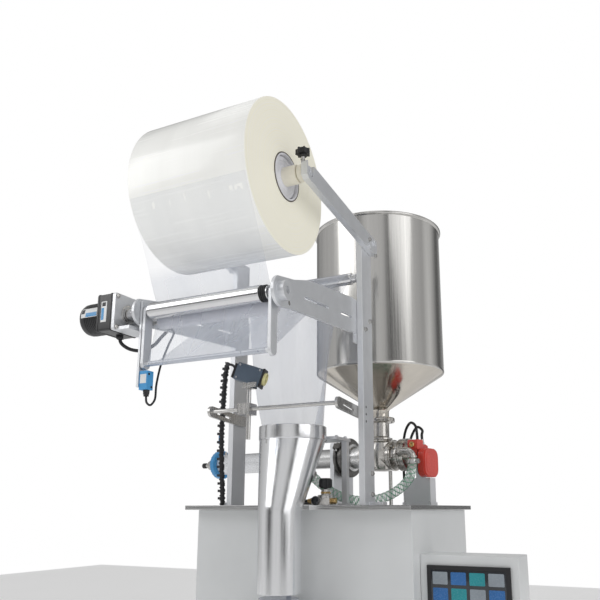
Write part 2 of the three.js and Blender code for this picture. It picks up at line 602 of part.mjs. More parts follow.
function addHoseAndRegulator() {
  add("product_hose", tubeAlong(HOSE_ROUTE, HOSE_RADIUS, 8, 24), HOSE_PVC);
  const { x, y } = REGULATOR;
  const base = block([x - 24, x + 14], [y - 14, y + 14], [GAP, 16]);
  const neck = stepped([[16, 15, 20], [9, 20, 32]], 24).translate(x, y, 0);
  const hole = rod(4, 20, 40, 12).translate(x, y, 0);
  add("regulator_body", cut(join(base, neck), hole), STEEL);
  const knob = stepped([[3.6, 22, 33], [12, 33, 36], [14, 36, 50], [11, 50, 53]], 8).translate(x, y, 0);
  add("regulator_knob", knob, BLACK);
}

// ---- sealing station under the deck --------------------------------------------------------------------------
function addSealing() {
  const wallY = CABINET.front - GAP;
  const backPlate = block([-130, 130], [8, wallY], [JAW.z - 50, JAW.z + 50]);
  const nose = block([-122, 122], [-182, -170], [JAW.z - 15, JAW.z + 15]);
  const rails = SIDES.map(([, side]) =>
    alongY(rod(JAW.rodRadius, -172, 10, 16), side * JAW.rodX, JAW.z));
  add("jaw_frame", join(backPlate, nose, ...rails), STEEL);

  const holes = () => SIDES.map(([, side]) =>
    alongY(rod(JAW.rodRadius + GAP, -200, 30, 16), side * JAW.rodX, JAW.z));
  const faceFront = TUBE.y - JAW.open;
  const faceRear = TUBE.y + JAW.open;
  const jaw = (yBack, yStep, yFace) => {
    const low = Math.min(yBack, yStep);
    const high = Math.max(yBack, yStep);
    const carriage = block([-118, 118], [low, high], [JAW.z - 20, JAW.z + 20]);
    const depth = yFace < yStep ? [yFace, yStep + 0.5] : [yStep - 0.5, yFace];
    const seal = block([-72, 72], depth, [JAW.z - 14, JAW.z + 14]);
    return cut(join(carriage, seal), ...holes());
  };
  add("jaw_front", jaw(faceFront - 34, faceFront - 8, faceFront), STEEL);
  add("jaw_rear", jaw(faceRear + 30, faceRear + 8, faceRear), STEEL);

  const heater = block([-12, 12], [-3, 11], [-290, -180]);
  const plunger = alongY(rod(SEALER.plunger, 10, 60, 20), 0, WHEEL.z);
  add("vertical_sealer", join(heater, plunger), STEEL);

  for (const [name, side] of SIDES) {
    const wheel = stepped([[9, -65, -61], [WHEEL.radius, -61, -37], [9, -37, -33], [WHEEL.shaft, -33, 50]], 24);
    add(`pull_wheel_${name}`, alongY(wheel, side * WHEEL.x, WHEEL.z), RUBBER);
  }

  const outer = [[wallY, -690], [wallY, -760], [-235, -905], [-235, -862]];
  const inner = [[wallY + 1, -680], [wallY + 1, -757], [-236, -902.5], [-236, -840]];
  add("discharge_chute", cut(sidePlate(outer, -100, 100), sidePlate(inner, -98, 98)), STEEL);
}

// ---- control panel -------------------------------------------------------------------------------------------
function addPanel() {
  const { left, right, front, back, bottom, top } = PANEL;
  const middle = (left + right) / 2;
  const box = cut(
    block([left, right], [front, back], [bottom, top]),
    block([left - 1, right - 2], [front + 2, back - 2], [bottom + 2, top - 2]),
  );
  const buttonZ = bottom + 45;
  const buttonX = { estop: middle - 42, start: middle + 42 };
  const holes = Object.values(buttonX).map((x) => alongY(rod(11.5, front - 1, front + 20, 16), x, buttonZ));
  add("control_panel", cut(box, ...holes), PAINT);

  add("touch_screen", block([middle - 76, middle + 76], [front - 6, front - GAP], [top - 118, top - 18]), SCREEN);
  const estop = stepped([[19, -26, -14], [11, -14, 12]], 16);
  add("estop_button", alongY(estop, buttonX.estop, buttonZ).translate(0, front, 0), RED);
  const start = stepped([[14, -10, -5], [11, -5, 12]], 16);
  add("start_button", alongY(start, buttonX.start, buttonZ).translate(0, front, 0), GREEN);
}

addCabinet();
addFrame();
addReel();
addRollers();
addGearmotor();
addDancer();
addRegistration();
addFormer();
addWeb();
addHopper();
addFiller();
addHoseAndRegulator();
addSealing();
addPanel();

// The origin goes to the middle of the base.
const bounds = new THREE.Box3().setFromObject(machine);
const centre = bounds.getCenter(new THREE.Vector3());
machine.position.set(-centre.x, -centre.y, -bounds.min.z);

export default machine;
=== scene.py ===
import json
import math
from math import cos, pi, radians, sin

import bmesh
import bpy
from mathutils import Matrix, Vector, noise


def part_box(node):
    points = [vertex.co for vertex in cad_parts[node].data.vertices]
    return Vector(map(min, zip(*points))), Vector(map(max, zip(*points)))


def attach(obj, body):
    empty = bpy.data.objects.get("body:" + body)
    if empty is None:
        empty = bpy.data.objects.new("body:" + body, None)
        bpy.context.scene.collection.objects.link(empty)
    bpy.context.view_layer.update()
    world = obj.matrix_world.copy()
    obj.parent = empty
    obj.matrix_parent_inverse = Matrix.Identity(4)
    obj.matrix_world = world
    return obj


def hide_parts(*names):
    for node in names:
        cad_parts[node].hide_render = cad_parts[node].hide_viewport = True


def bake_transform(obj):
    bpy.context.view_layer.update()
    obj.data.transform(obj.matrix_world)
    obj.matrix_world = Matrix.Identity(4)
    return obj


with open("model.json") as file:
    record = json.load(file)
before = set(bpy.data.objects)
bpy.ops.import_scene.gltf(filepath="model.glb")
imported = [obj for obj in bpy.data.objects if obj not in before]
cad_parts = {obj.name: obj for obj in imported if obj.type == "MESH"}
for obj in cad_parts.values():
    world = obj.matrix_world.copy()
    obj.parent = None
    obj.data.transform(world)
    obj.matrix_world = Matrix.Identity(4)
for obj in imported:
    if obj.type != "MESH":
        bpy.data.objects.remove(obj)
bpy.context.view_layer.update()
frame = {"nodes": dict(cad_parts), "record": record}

MM = 0.001
DECK_FRONT = -15  # the deck's front edge, in the machine's millimetres
deck_low, deck_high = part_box("deck_plate")
ORIGIN = Vector(((deck_low.x + deck_high.x) / 2, deck_low.y - DECK_FRONT * MM, deck_high.z))
HOME = "machine_frame"
SHARP = radians(34)  # edges bent by more than this stay sharp and get a bevel
JOIN_WITHIN = 0.002  # millimetres, corners of a drawn shape closer than this become one
CAD_JOIN_WITHIN = 0.00002  # metres, the same for the CAD pieces


def at(x, y, z):
    """A machine point in metres."""
    return ORIGIN + Vector((x, y, z)) * MM


def span(node):
    """A CAD node's box in machine millimetres."""
    low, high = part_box(node)
    return (low - ORIGIN) / MM, (high - ORIGIN) / MM


def middle(node):
    low, high = span(node)
    return (low + high) / 2


def over(node, z=0):
    """The point above or below a node's middle at a height."""
    return Vector((*middle(node).xy, z))


def half_height(node):
    low, high = span(node)
    return (high.z - low.z) / 2


def angles(count, start=0.0):
    """Directions that go evenly round a turn."""
    return [start + 2 * pi * i / count for i in range(count)]


def on_circle(radius, turn):
    return [(radius * cos(a), radius * sin(a)) for a in turn]


def rectangle(x0, y0, x1, y1):
    return [(x0, y0), (x1, y0), (x1, y1), (x0, y1)]


def mirrored(half):
    """A profile of (radius, height) from its upper half, listed from the end to the middle."""
    return [*[(r, -h) for r, h in half], *half[::-1]]


def lobed(lobes, reach_at):
    """An outline whose reach follows a wave with that many lobes."""
    return [point for a in angles(lobes * 12) for point in on_circle(reach_at(cos(lobes * a)), [a])]


# ---- camera --------------------------------------------------------------------------------------
CAMERA_EYE = (659.6, -1207.2, -5.8)
CAMERA_YAW = 26.38
CAMERA_PITCH = 12.81
CAMERA_LENS = 40.7
CAMERA_SHIFT = (-0.033, 0.09)


def add_camera():
    data = bpy.data.cameras.new("camera")
    data.lens = CAMERA_LENS
    data.shift_x, data.shift_y = CAMERA_SHIFT
    data.clip_start, data.clip_end = 0.05, 60
    camera = bpy.data.objects.new("camera", data)
    camera.location = at(*CAMERA_EYE)
    camera.rotation_euler = (radians(90 + CAMERA_PITCH), 0, radians(CAMERA_YAW))
    bpy.context.scene.collection.objects.link(camera)
    bpy.context.scene.camera = camera


add_camera()

# ---- materials -----------------------------------------------------------------------------------
CLEAR_SHARE = 0.3  # what is left of the film's alpha in front of the roll
CLEAR_BLUR = 0.012  # metres over which it changes


class Graph:
    """A node tree, filled with nodes whose inputs are numbers, colours or other nodes' outputs."""

    def __init__(self, tree):
        self.tree = tree

    def feed(self, socket, value):
        if isinstance(value, bpy.types.NodeSocket):
            self.tree.links.new(value, socket)
        elif socket.type == "RGBA" and len(value) == 3:
            socket.default_value = (*value, 1)
        else:
            socket.default_value = value

    def node(self, kind, inputs=None, **settings):
        made = self.tree.nodes.new(kind)
        for key, value in settings.items():
            setattr(made, key, value)
        for key, value in (inputs or {}).items():
            self.feed(made.inputs[key], value)
        return made

    def between(self, value, low, high, start=0.3, end=0.7):
        """A value's range from start to end, spread from low to high."""
        ends = {"From Min": start, "From Max": end, "To Min": low, "To Max": high, "Value": value}
        return self.node("ShaderNodeMapRange", ends).outputs["Result"]

    def mixed(self, factor, first, second):
        return self.node("ShaderNodeMix", {0: factor, 6: first, 7: second}, data_type="RGBA").outputs[2]


class Finish(Graph):
    """A Principled material whose colour, roughness and bump come from noise in object space."""

    def __init__(self, name, colour, metallic=0.0, rough=0.4, **sockets):
        self.material = bpy.data.materials.new(name)
        self.material.use_nodes = True
        super().__init__(self.material.node_tree)
        self.shader = self.tree.nodes["Principled BSDF"]
        self.where = self.node("ShaderNodeTexCoord").outputs["Object"]
        self.colour, self.rough, self.base = colour, rough, None
        self.shade(Base_Color=colour, Metallic=metallic, Roughness=rough, **sockets)

    def shade(self, **sockets):
        for key, value in sockets.items():
            self.feed(self.shader.inputs[key.replace("_", " ")], value)
        return self

    def noise(self, scale, detail=3.0):
        """Noise of one scale, or of one for each axis."""
        scale = scale if isinstance(scale, tuple) else even(scale)
        mapping = self.node("ShaderNodeMapping", {"Scale": scale, "Vector": self.where})
        inputs = {"Scale": 1.0, "Detail": detail, "Vector": mapping.outputs["Vector"]}
        return self.node("ShaderNodeTexNoise", inputs).outputs["Fac"]

    def mottle(self, scale, amount):
        """Colour that drifts between a darker and a lighter tone."""
        dark, light = (tuple(min(1.0, c * (1 + part)) for c in self.colour) for part in (-amount, amount))
        self.base = self.mixed(self.between(self.noise(scale), 0, 1), dark, light)
        return self.shade(Base_Color=self.base)

    def roughen(self, scale, spread):
        ranged = self.between(self.noise(scale), max(0.02, self.rough - spread), self.rough + spread)
        return self.shade(Roughness=ranged)

    def relief(self, height, strength, depth):
        inputs = {"Strength": strength, "Distance": depth, "Height": height}
        return self.shade(Normal=self.node("ShaderNodeBump", inputs).outputs["Normal"])

    def bump(self, scale, strength, depth, detail=3.0):
        return self.relief(self.noise(scale, detail), strength, depth)

    def worn(self, colour, start=0.52, end=0.6):
        """Edges rubbed to another colour."""
        edge = self.between(self.node("ShaderNodeNewGeometry").outputs["Pointiness"], 0, 1, start, end)
        return self.shade(Base_Color=self.mixed(edge, self.base or self.colour, colour))

    def veil(self, scale, low, high, clear_above=None):
        """Alpha that drifts between two values, and falls to a share of them above a height."""
        alpha = self.between(self.noise(scale), low, high)
        if clear_above:
            height = self.node("ShaderNodeSeparateXYZ", {0: self.where}).outputs["Z"]
            left = self.between(height, 1, CLEAR_SHARE, clear_above - CLEAR_BLUR, clear_above + CLEAR_BLUR)
            alpha = self.node("ShaderNodeMath", {0: alpha, 1: left}, operation="MULTIPLY").outputs[0]
        return self.shade(Alpha=alpha)


def even(value):
    return (value, value, value)


STREAK_UP = (900, 900, 14)  # noise scales that draw fine streaks along one axis
STREAK_X = (10, 900, 900)


def plain(name, colour, metallic, rough, mottle, roughen, bump, **sockets):
    made = Finish(name, colour, metallic, rough, **sockets).mottle(*mottle).roughen(*roughen)
    return made.bump(*bump).material


def brushed(name, colour, rough, streak, depth=0.00004, mottle=0.05):
    wide = tuple(s / 12 for s in streak)
    return plain(name, colour, 1.0, rough, (wide, mottle), (streak, rough * 0.35), (streak, 0.25, depth))


def moulded(name, colour, rough=0.42, depth=0.00012, **sockets):
    return plain(name, colour, 0.0, rough, (35, 0.07), (500, 0.08), (1400, 0.35, depth), **sockets)


def painted(name, colour, rough=0.38):
    made = Finish(name, colour, 0.0, rough, Coat_Weight=0.25, Coat_Roughness=0.25)
    made.mottle(9, 0.035).worn(tuple(min(1, c * 1.25 + 0.03) for c in colour), 0.54, 0.62)
    return made.roughen(240, 0.06).bump(520, 0.22, 0.00025).material


def film_finish(name, colour, low, high, clear_above=None):
    made = Finish(name, colour, 0.0, 0.14, Coat_Weight=0.4, Coat_Roughness=0.06, IOR=1.5)
    made.mottle((9, 4, 3), 0.05).veil((16, 6, 3), low, high, clear_above)
    return made.bump((16, 9, 5), 0.5, 0.003, 2).material


STEEL = brushed("brushed_stainless", (0.60, 0.59, 0.575), 0.24, STREAK_UP)
STEEL_X = brushed("brushed_stainless_along", (0.66, 0.66, 0.66), 0.26, STREAK_X)
HOPPER_STEEL = brushed("hopper_stainless", (0.63, 0.62, 0.60), 0.17, (420, 420, 4), 0.00008, 0.14)
CONE_STEEL = brushed("cone_stainless", (0.64, 0.60, 0.54), 0.13, (200, 200, 40), 0.00005, 0.1)
FUNNEL_STEEL = brushed("funnel_stainless", (0.84, 0.845, 0.86), 0.2, (160, 160, 6), 0.00005, 0.05)
CAST = plain("cast_stainless", (0.62, 0.60, 0.57), 1.0, 0.2, (60, 0.08), (220, 0.08), (420, 0.2, 0.00012))
POLISHED = plain("polished_steel", (0.74, 0.74, 0.75), 1.0, 0.16, (STREAK_X, 0.04), ((30, 600, 600), 0.05),
                 (STREAK_X, 0.1, 0.00002))
ALUMINIUM = Finish("satin_aluminium", (0.75, 0.765, 0.79), 0.75, 0.42).mottle(30, 0.04)
ALUMINIUM = ALUMINIUM.roughen(300, 0.08).worn((0.85, 0.86, 0.88)).bump(700, 0.2, 0.00006).material
CREAM = moulded("cream_plastic", (0.86, 0.82, 0.70), 0.38)
PALE = moulded("pale_plastic", (0.78, 0.78, 0.82), 0.4)
WHITE = moulded("white_plastic", (0.85, 0.86, 0.86), 0.35)
BLACK = moulded("black_plastic", (0.018, 0.018, 0.02), 0.4)
BLACK_PAINT = painted("black_paint", (0.015, 0.015, 0.017), 0.34)
RUBBER = moulded("rubber", (0.035, 0.035, 0.037), 0.62, 0.0002)
RED = moulded("red_plastic", (0.72, 0.065, 0.045), 0.3, Coat_Weight=0.4, Coat_Roughness=0.12)
BLUE = moulded("blue_plastic", (0.05, 0.30, 0.62), 0.32, Coat_Weight=0.3, Coat_Roughness=0.15)
SLATE = moulded("slate_plastic", (0.105, 0.14, 0.185), 0.36)
GREEN = moulded("green_plastic", (0.02, 0.36, 0.12), 0.3)
AMBER = moulded("lens_yellow", (0.80, 0.74, 0.36), 0.25)
PAINT = painted("painted_steel", (0.74, 0.755, 0.76), 0.4)
GLASS = Finish("screen_glass", (0.012, 0.016, 0.022), 0.0, 0.06, Coat_Weight=1.0, Coat_Roughness=0.03)
GLASS = GLASS.mottle(8, 0.2).roughen(90, 0.03).material
BRASS = plain("brass", (0.72, 0.50, 0.22), 1.0, 0.22, (80, 0.1), (300, 0.08), (500, 0.2, 0.00008))
ROLL_BOTTOM = 395  # above this height the film hangs in front of the roll, and is clearer
LEAD_FILM = film_finish("lead_film", (0.58, 0.63, 0.74), 0.30, 0.44, at(0, 0, ROLL_BOTTOM).z)
CLEAR_FILM = film_finish("clear_film", (0.58, 0.62, 0.72), 0.40, 0.56)
BAG_FILM = film_finish("bag_film", (0.70, 0.73, 0.80), 0.55, 0.72)
HOSE = Finish("clear_hose", (0.92, 0.95, 0.94), 0.0, 0.1, Coat_Weight=0.6, Coat_Roughness=0.04, IOR=1.45)
HOSE = HOSE.mottle(40, 0.05).veil(30, 0.34, 0.48).bump(120, 0.2, 0.0004).material
THREAD = moulded("green_thread", (0.015, 0.30, 0.13), 0.5)
DARK_CARD = moulded("dark_core", (0.10, 0.085, 0.075), 0.55)
DARK_STEEL = plain("dark_clamp_steel", (0.16, 0.155, 0.15), 1.0, 0.3, (60, 0.15), (260, 0.1),
                   (500, 0.25, 0.0001))
PALE_METAL = plain("anodised_tube", (0.80, 0.81, 0.83), 0.6, 0.28, (30, 0.04), (STREAK_X, 0.08),
                   (STREAK_X, 0.15, 0.00004))
BLUE_SENSOR = moulded("sensor_blue", (0.07, 0.36, 0.72), 0.35)
TILE_A = moulded("tile_teal", (0.03, 0.30, 0.34), 0.25)
TILE_B = moulded("tile_grey", (0.30, 0.34, 0.38), 0.25)
TILE_C = moulded("tile_blue", (0.04, 0.16, 0.42), 0.25)


# Emission Strength 0.15 paints a glow on the roll's film, brightening it as if lit from below and the front;
# the roll is no lamp.
WOUND_FILM = plain("wound_film", (0.90, 0.90, 0.87), 0.0, 0.24, ((30, 1.6, 1.6), 0.035),
                   ((4, 160, 160), 0.06), ((7, 60, 60), 0.25, 0.0006), Coat_Weight=0.35, Coat_Roughness=0.12,
                   Emission_Color=(1, 1, 0.97, 1), Emission_Strength=0.15)


def wound_edge():
    """The end of the roll: close rings round the reel's axis, with a painted glow that brightens it."""
    # Emission Strength 0.12 is a painted glow that brightens the roll's end; the roll is no lamp.
    made = Finish("wound_edge", (0.90, 0.87, 0.74), 0.0, 0.42, Emission_Color=(1, 0.97, 0.84, 1),
                  Emission_Strength=0.12)
    low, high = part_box("film_core")
    inputs = {0: made.where, 1: (low + high) / 2}
    away = made.node("ShaderNodeVectorMath", inputs, operation="SUBTRACT").outputs["Vector"]
    flat = made.node("ShaderNodeVectorMath", {0: away, 1: (0, 1, 1)}, operation="MULTIPLY").outputs["Vector"]
    reach = made.node("ShaderNodeVectorMath", {0: flat}, operation="LENGTH").outputs["Value"]
    rings = made.node("ShaderNodeTexNoise", {"Scale": 420}, noise_dimensions="1D")
    made.feed(rings.inputs["W"], reach)
    tone = made.between(rings.outputs["Fac"], 0, 1)
    made.shade(Base_Color=made.mixed(tone, (0.88, 0.85, 0.71), (0.94, 0.91, 0.79)))
    return made.relief(rings.outputs["Fac"], 0.3, 0.0004).material


WOUND_EDGE = wound_edge()
BY_SLOT = {
    "painted_steel": PAINT, "brushed_stainless": STEEL, "polished_steel": POLISHED, "aluminium": ALUMINIUM,
    "cream_plastic": CREAM, "clear_film": CLEAR_FILM, "film_wound": WOUND_FILM, "black_plastic": BLACK,
    "black_paint": BLACK_PAINT, "rubber": RUBBER, "red_plastic": RED, "blue_plastic": BLUE,
    "slate_plastic": SLATE, "clear_hose": HOSE, "screen_glass": GLASS, "green_plastic": GREEN,
}

# ---- shapes --------------------------------------------------------------------------------------
TURNS = {
    "z": Matrix.Identity(4), "-z": Matrix.Rotation(pi, 4, "X"),
    "x": Matrix.Rotation(pi / 2, 4, "Y"), "-x": Matrix.Rotation(-pi / 2, 4, "Y"),
    "y": Matrix.Rotation(-pi / 2, 4, "X"), "-y": Matrix.Rotation(pi / 2, 4, "X"),
}
# Outlines in (y, z) that are drawn out along x, and outlines in (x, z) that are drawn out to the front.
ACROSS = Matrix(((0, 0, 1, 0), (1, 0, 0, 0), (0, 1, 0, 0), (0, 0, 0, 1)))
UPRIGHT = Matrix(((1, 0, 0, 0), (0, 0, -1, 0), (0, 1, 0, 0), (0, 0, 0, 1)))


def placed(point, axis="z"):
    """A place whose own z points along a machine axis."""
    return Matrix.Translation(point) @ TURNS[axis]


def spun(degrees, axis):
    return Matrix.Rotation(radians(degrees), 4, axis)


class Shape:
    """Closed shells gathered into one mesh, in millimetres. Each call adds one, with a material's number."""

    def __init__(self):
        self.bm = bmesh.new()

    def face(self, corners, material, smooth=True):
        corners = list(dict.fromkeys(corners))
        if len(corners) > 2:
            face = self.bm.faces.new(corners)
            face.material_index = material
            face.smooth = smooth

    def lathe(self, profile, m=TURNS["z"], material=0, segments=64):
        """Turns a profile of (radius, height) about m's z axis; radius 0 ends in a point."""
        rings = []
        for radius, height in profile:
            turn = angles(segments)[: None if radius > 0 else 1]
            rings.append([self.bm.verts.new(m @ Vector((x, y, height))) for x, y in on_circle(radius, turn)])
        for low, high in zip(rings, rings[1:]):
            for i in range(segments):
                j = (i + 1) % segments
                pick = [low[i % len(low)], low[j % len(low)], high[j % len(high)], high[i % len(high)]]
                self.face(pick, material)
        return self

    def steps(self, steps, m=TURNS["z"], material=0, segments=64):
        """A stepped round bar: (radius, from, to) in order."""
        profile = [(0, steps[0][1])]
        for radius, low, high in steps:
            profile += [(radius, low), (radius, high)]
        return self.lathe([*profile, (0, steps[-1][2])], m, material, segments)

    def pipe(self, outer, inner, low, high, m=TURNS["z"], material=0, segments=64):
        loop = [(inner, low), (outer, low), (outer, high), (inner, high), (inner, low)]
        return self.lathe(loop, m, material, segments)

    def prism(self, outline, low, high, m=TURNS["z"], material=0):
        """An outline of (x, y) in m's plane, from low to high."""
        rings = [[self.bm.verts.new(m @ Vector((x, y, h))) for x, y in outline] for h in (low, high)]
        count = len(outline)
        for i in range(count):
            j = (i + 1) % count
            self.face([rings[0][i], rings[0][j], rings[1][j], rings[1][i]], material, False)
        self.face(rings[0][::-1], material, False)
        self.face(rings[1], material, False)
        return self

    def box(self, low, high, m=TURNS["z"], material=0):
        (x0, y0, z0), (x1, y1, z1) = low, high
        return self.prism(rectangle(x0, y0, x1, y1), z0, z1, m, material)

    def sweep(self, points, radius, material=0, sides=16, close=True):
        """A round cord along points, whose section is carried along without twisting."""
        points = [Vector(p) for p in points]
        normal = None
        rings = []
        for i, point in enumerate(points):
            along = heading(points, i)
            if normal is None:
                normal = along.orthogonal()
            normal = (normal - along * normal.dot(along)).normalized()
            other = along.cross(normal)
            size = radius(i / (len(points) - 1)) if callable(radius) else radius
            turn = [normal * cos(a) + other * sin(a) for a in angles(sides)]
            rings.append([self.bm.verts.new(point + way * size) for way in turn])
        for low, high in zip(rings, rings[1:]):
            for k in range(sides):
                n = (k + 1) % sides
                self.face([low[k], low[n], high[n], high[k]], material)
        if close:
            self.face(rings[0][::-1], material, False)
            self.face(rings[-1], material, False)
        return self

    def grid(self, rows, material=0, closed=False):
        """A skin through rows of points."""
        made = [[self.bm.verts.new(p) for p in row] for row in rows]
        width = len(rows[0])
        for low, high in zip(made, made[1:]):
            for i in range(width if closed else width - 1):
                j = (i + 1) % width
                self.face([low[i], low[j], high[j], high[i]], material)
        return self

    def hex_bolt(self, m, across=6.0, height=4.5, material=0):
        """A hexagon head on a washer, standing on m's plane."""
        self.steps([(across * 1.12, 0, 0.9)], m, material, 24)
        self.prism(on_circle(across, angles(6)), 0.9, height, m, material)
        return self.steps([(across * 0.55, height - 0.2, height + 1.2)], m, material, 16)

    def cap_screw(self, m, radius=3.0, height=3.0, material=0):
        """A socket head screw."""
        socket = radius * 0.5
        profile = [(0, height * 0.4), (socket, height * 0.4), (socket, height), (radius * 0.9, height),
                   (radius, height * 0.85), (radius, 0), (0, 0)]
        return self.lathe(profile, m, material, 24)


def show(name, mesh):
    made = bpy.data.objects.new(name, mesh)
    bpy.context.scene.collection.objects.link(made)
    return made


def piece(name, shape, materials, body, replaces=(), bevel=0.5, weld=True):
    """Turns a shape into a named object, which rides on a body when one is given."""
    bm = shape.bm
    if weld:
        bmesh.ops.remove_doubles(bm, verts=bm.verts, dist=JOIN_WITHIN)
    bmesh.ops.recalc_face_normals(bm, faces=bm.faces)
    for vertex in bm.verts:
        vertex.co = ORIGIN + vertex.co * MM
    mesh = bpy.data.meshes.new(name)
    bm.to_mesh(mesh)
    bm.free()
    mesh.set_sharp_from_angle(angle=SHARP)
    made = show(name, mesh)
    for material in materials if isinstance(materials, (list, tuple)) else [materials]:
        mesh.materials.append(material)
    if bevel:
        soften(made, bevel)
    if body:
        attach(made, body)
    if replaces:
        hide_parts(*replaces)
    return made


def soften(made, width):
    edge = made.modifiers.new("soft_edges", "BEVEL")
    edge.limit_method = "ANGLE"
    edge.angle_limit = SHARP
    edge.width = width * MM
    edge.segments = 2
    edge.use_clamp_overlap = True
    edge.harden_normals = True


def finish_cad_nodes():
    """CAD pieces that show as they are: joined, softened along their edges, and given a material."""
    thin = {"cabinet_shell", "rear_door", "discharge_chute", "control_panel"}
    for row in frame["record"]["subparts"]:
        made = frame["nodes"][row["node"]]
        made.data.materials.clear()
        made.data.materials.append(STEEL_X if row["node"] == "deck_plate" else BY_SLOT[row["material_slot"]])
        weld = made.modifiers.new("one_surface", "WELD")
        weld.merge_threshold = CAD_JOIN_WITHIN
        soften(made, 1.2 if row["node"] in thin else 0.6)


def rounded(points, radius, steps=5):
    """A closed outline with its corners rounded."""
    made = []
    count = len(points)
    for i, (x, y) in enumerate(points):
        here = Vector((x, y))
        before = (Vector(points[i - 1]) - here).normalized()
        after = (Vector(points[(i + 1) % count]) - here).normalized()
        start, end = here + before * radius, here + after * radius
        for k in range(steps + 1):
            t = k / steps
            made.append(tuple(start * (1 - t) ** 2 + here * 2 * t * (1 - t) + end * t**2))
    return made


def heading(points, i):
    """The direction of a line of points at one of them."""
    return (points[min(i + 1, len(points) - 1)] - points[max(i - 1, 0)]).normalized()


def curve(points, step):
    """A centripetal Catmull-Rom curve through points, cut into steps of about that length."""
    points = [Vector(p) for p in points]
    padded = [points[0] * 2 - points[1], *points, points[-1] * 2 - points[-2]]
    made = []
    for a, b, c, d in zip(padded, padded[1:], padded[2:], padded[3:]):
        t1 = (b - a).length ** 0.5
        t2 = t1 + (c - b).length ** 0.5
        t3 = t2 + (d - c).length ** 0.5
        count = max(1, round((c - b).length / step))
        for k in range(count):
            t = t1 + (t2 - t1) * k / count
            ab = a + (b - a) * (t / t1)
            bc = b + (c - b) * ((t - t1) / (t2 - t1))
            cd = c + (d - c) * ((t - t2) / (t3 - t2))
            abc = ab + (bc - ab) * (t / t2)
            bcd = bc + (cd - bc) * ((t - t1) / (t3 - t1))
            made.append(abc + (bcd - abc) * ((t - t1) / (t2 - t1)))
    return [*made, points[-1]]


HELIX_STEPS = 14  # points in each turn of a wound thread


def helix_round(line, radius, pitch, phase=0.0, direction=1):
    """Points that wind round a line at a radius."""
    normal = None
    travelled = 0.0
    made = []
    fine = curve(line, pitch / HELIX_STEPS)
    for i, point in enumerate(fine):
        along = heading(fine, i)
        if normal is None:
            normal = along.orthogonal()
        normal = (normal - along * normal.dot(along)).normalized()
        if i:
            travelled += (point - fine[i - 1]).length
        a = phase + direction * 2 * pi * travelled / pitch
        made.append(point + (normal * cos(a) + along.cross(normal) * sin(a)) * radius)
    return made


# ---- product hose --------------------------------------------------------------------------------
HOSE_RADIUS = 9.75
HOSE_ROUTE = [
    (186.7, 190.9, 98), (186.7, 190.9, 86), (184.5, 189, 70), (177, 184, 51), (159, 175, 32),
    (135, 163, 17.5), (106, 152, 10.4), (74, 142, 10.4), (42, 129, 20), (18, 112, 37), (4, 92, 55),
    (0, 76, 63), (0, 62, 65),
]
BRAID_STARTS, BRAID_PITCH = 3, 30


def add_hose():
    line = curve(HOSE_ROUTE, 5)
    shape = Shape().sweep(line, HOSE_RADIUS, 0, 32)
    hose = piece("clear_product_hose", shape, HOSE, HOME, ["product_hose"], bevel=0)
    threads = Shape()
    for direction in (-1, 1):
        for a in angles(BRAID_STARTS):
            threads.sweep(helix_round(HOSE_ROUTE, HOSE_RADIUS - 0.1, BRAID_PITCH, a, direction), 0.65, 0, 5)
    braid = piece("hose_braid", threads, THREAD, HOME, bevel=0, weld=False)


# ---- film reel -----------------------------------------------------------------------------------
END_RINGS = 46  # fine steps across each end of the roll
CORE_BORE = 39


def add_reel():
    low, high = span("film_roll")
    centre = middle("film_core")
    half, radius, core = (high.x - low.x) / 2, half_height("film_roll"), half_height("film_core")
    place, mirror = (placed((0, centre.y, centre.z), way) for way in ("x", "-x"))
    ends = []
    for k in range(END_RINGS + 1):
        r = core + 0.3 + (radius - 0.8 - core - 0.3) * k / END_RINGS
        ends.append((r, half - 0.35 + 0.3 * noise.noise(Vector((r * 0.4, 0, 0)))))
    corner = (radius - 0.2, half - 0.5)
    shape = Shape()
    shape.lathe([*[(r, -h) for r, h in ends], (corner[0], -corner[1])], place, 1, 128)
    shape.lathe(mirrored([corner, (radius, half - 1.2)]), place, 0, 128)
    shape.lathe([corner, *ends[::-1]], place, 1, 128)
    shape.lathe([(core + 0.3, ends[0][1]), (core + 0.3, -ends[0][1])], place, 1, 128)
    piece("wound_film_roll", shape, [WOUND_FILM, WOUND_EDGE], "reel", ["film_roll"], bevel=0)

    shape = Shape().pipe(core, core - 1.9, -half - 1, half + 1, place, 0, 96)
    shape.pipe(core - 1.9, CORE_BORE, -half - 0.8, half + 0.8, place, 1, 96)
    piece("winding_core", shape, [DARK_CARD, PALE], "reel", ["film_core"], bevel=0.4)

    shape = Shape()
    for to in (mirror, place):
        shape.lathe([(0, 60), (38, 100), (38, 115), (36.5, 116.5), (31, 117), (29, 115.5), (22, 115.5),
                     (20, 117), (17, 117.5)], to, 1, 96)
        shape.lathe([(17, 117.5), (17, 141), (15.8, 143.5), (10.4, 144), (10.4, 60), (0, 60)], to, 0, 64)
    shape.pipe(17, 10.4, -100, 100, place, 0, 48)
    piece("reel_hub_plugs", shape, [CREAM, PALE], "reel", ["reel_hub"], bevel=0.3)

    shape = Shape().steps([(9.7, -166, 166)], place, 0, 48)
    for to in (mirror, place):
        shape.lathe([(9.8, 144.4), (12, 144.4), (12, 146), (15, 146.4), (15, 155), (14.4, 155.6),
                     (9.8, 155.6)], to, 1, 64)
        shape.hex_bolt(to @ placed((0, 0, 165.8)), 4.5, 2.4, 0)
    piece("reel_shaft_and_collars", shape, [ALUMINIUM, CREAM], HOME, ["roll_shaft"], bevel=0.3)
    add_star_knob(centre)


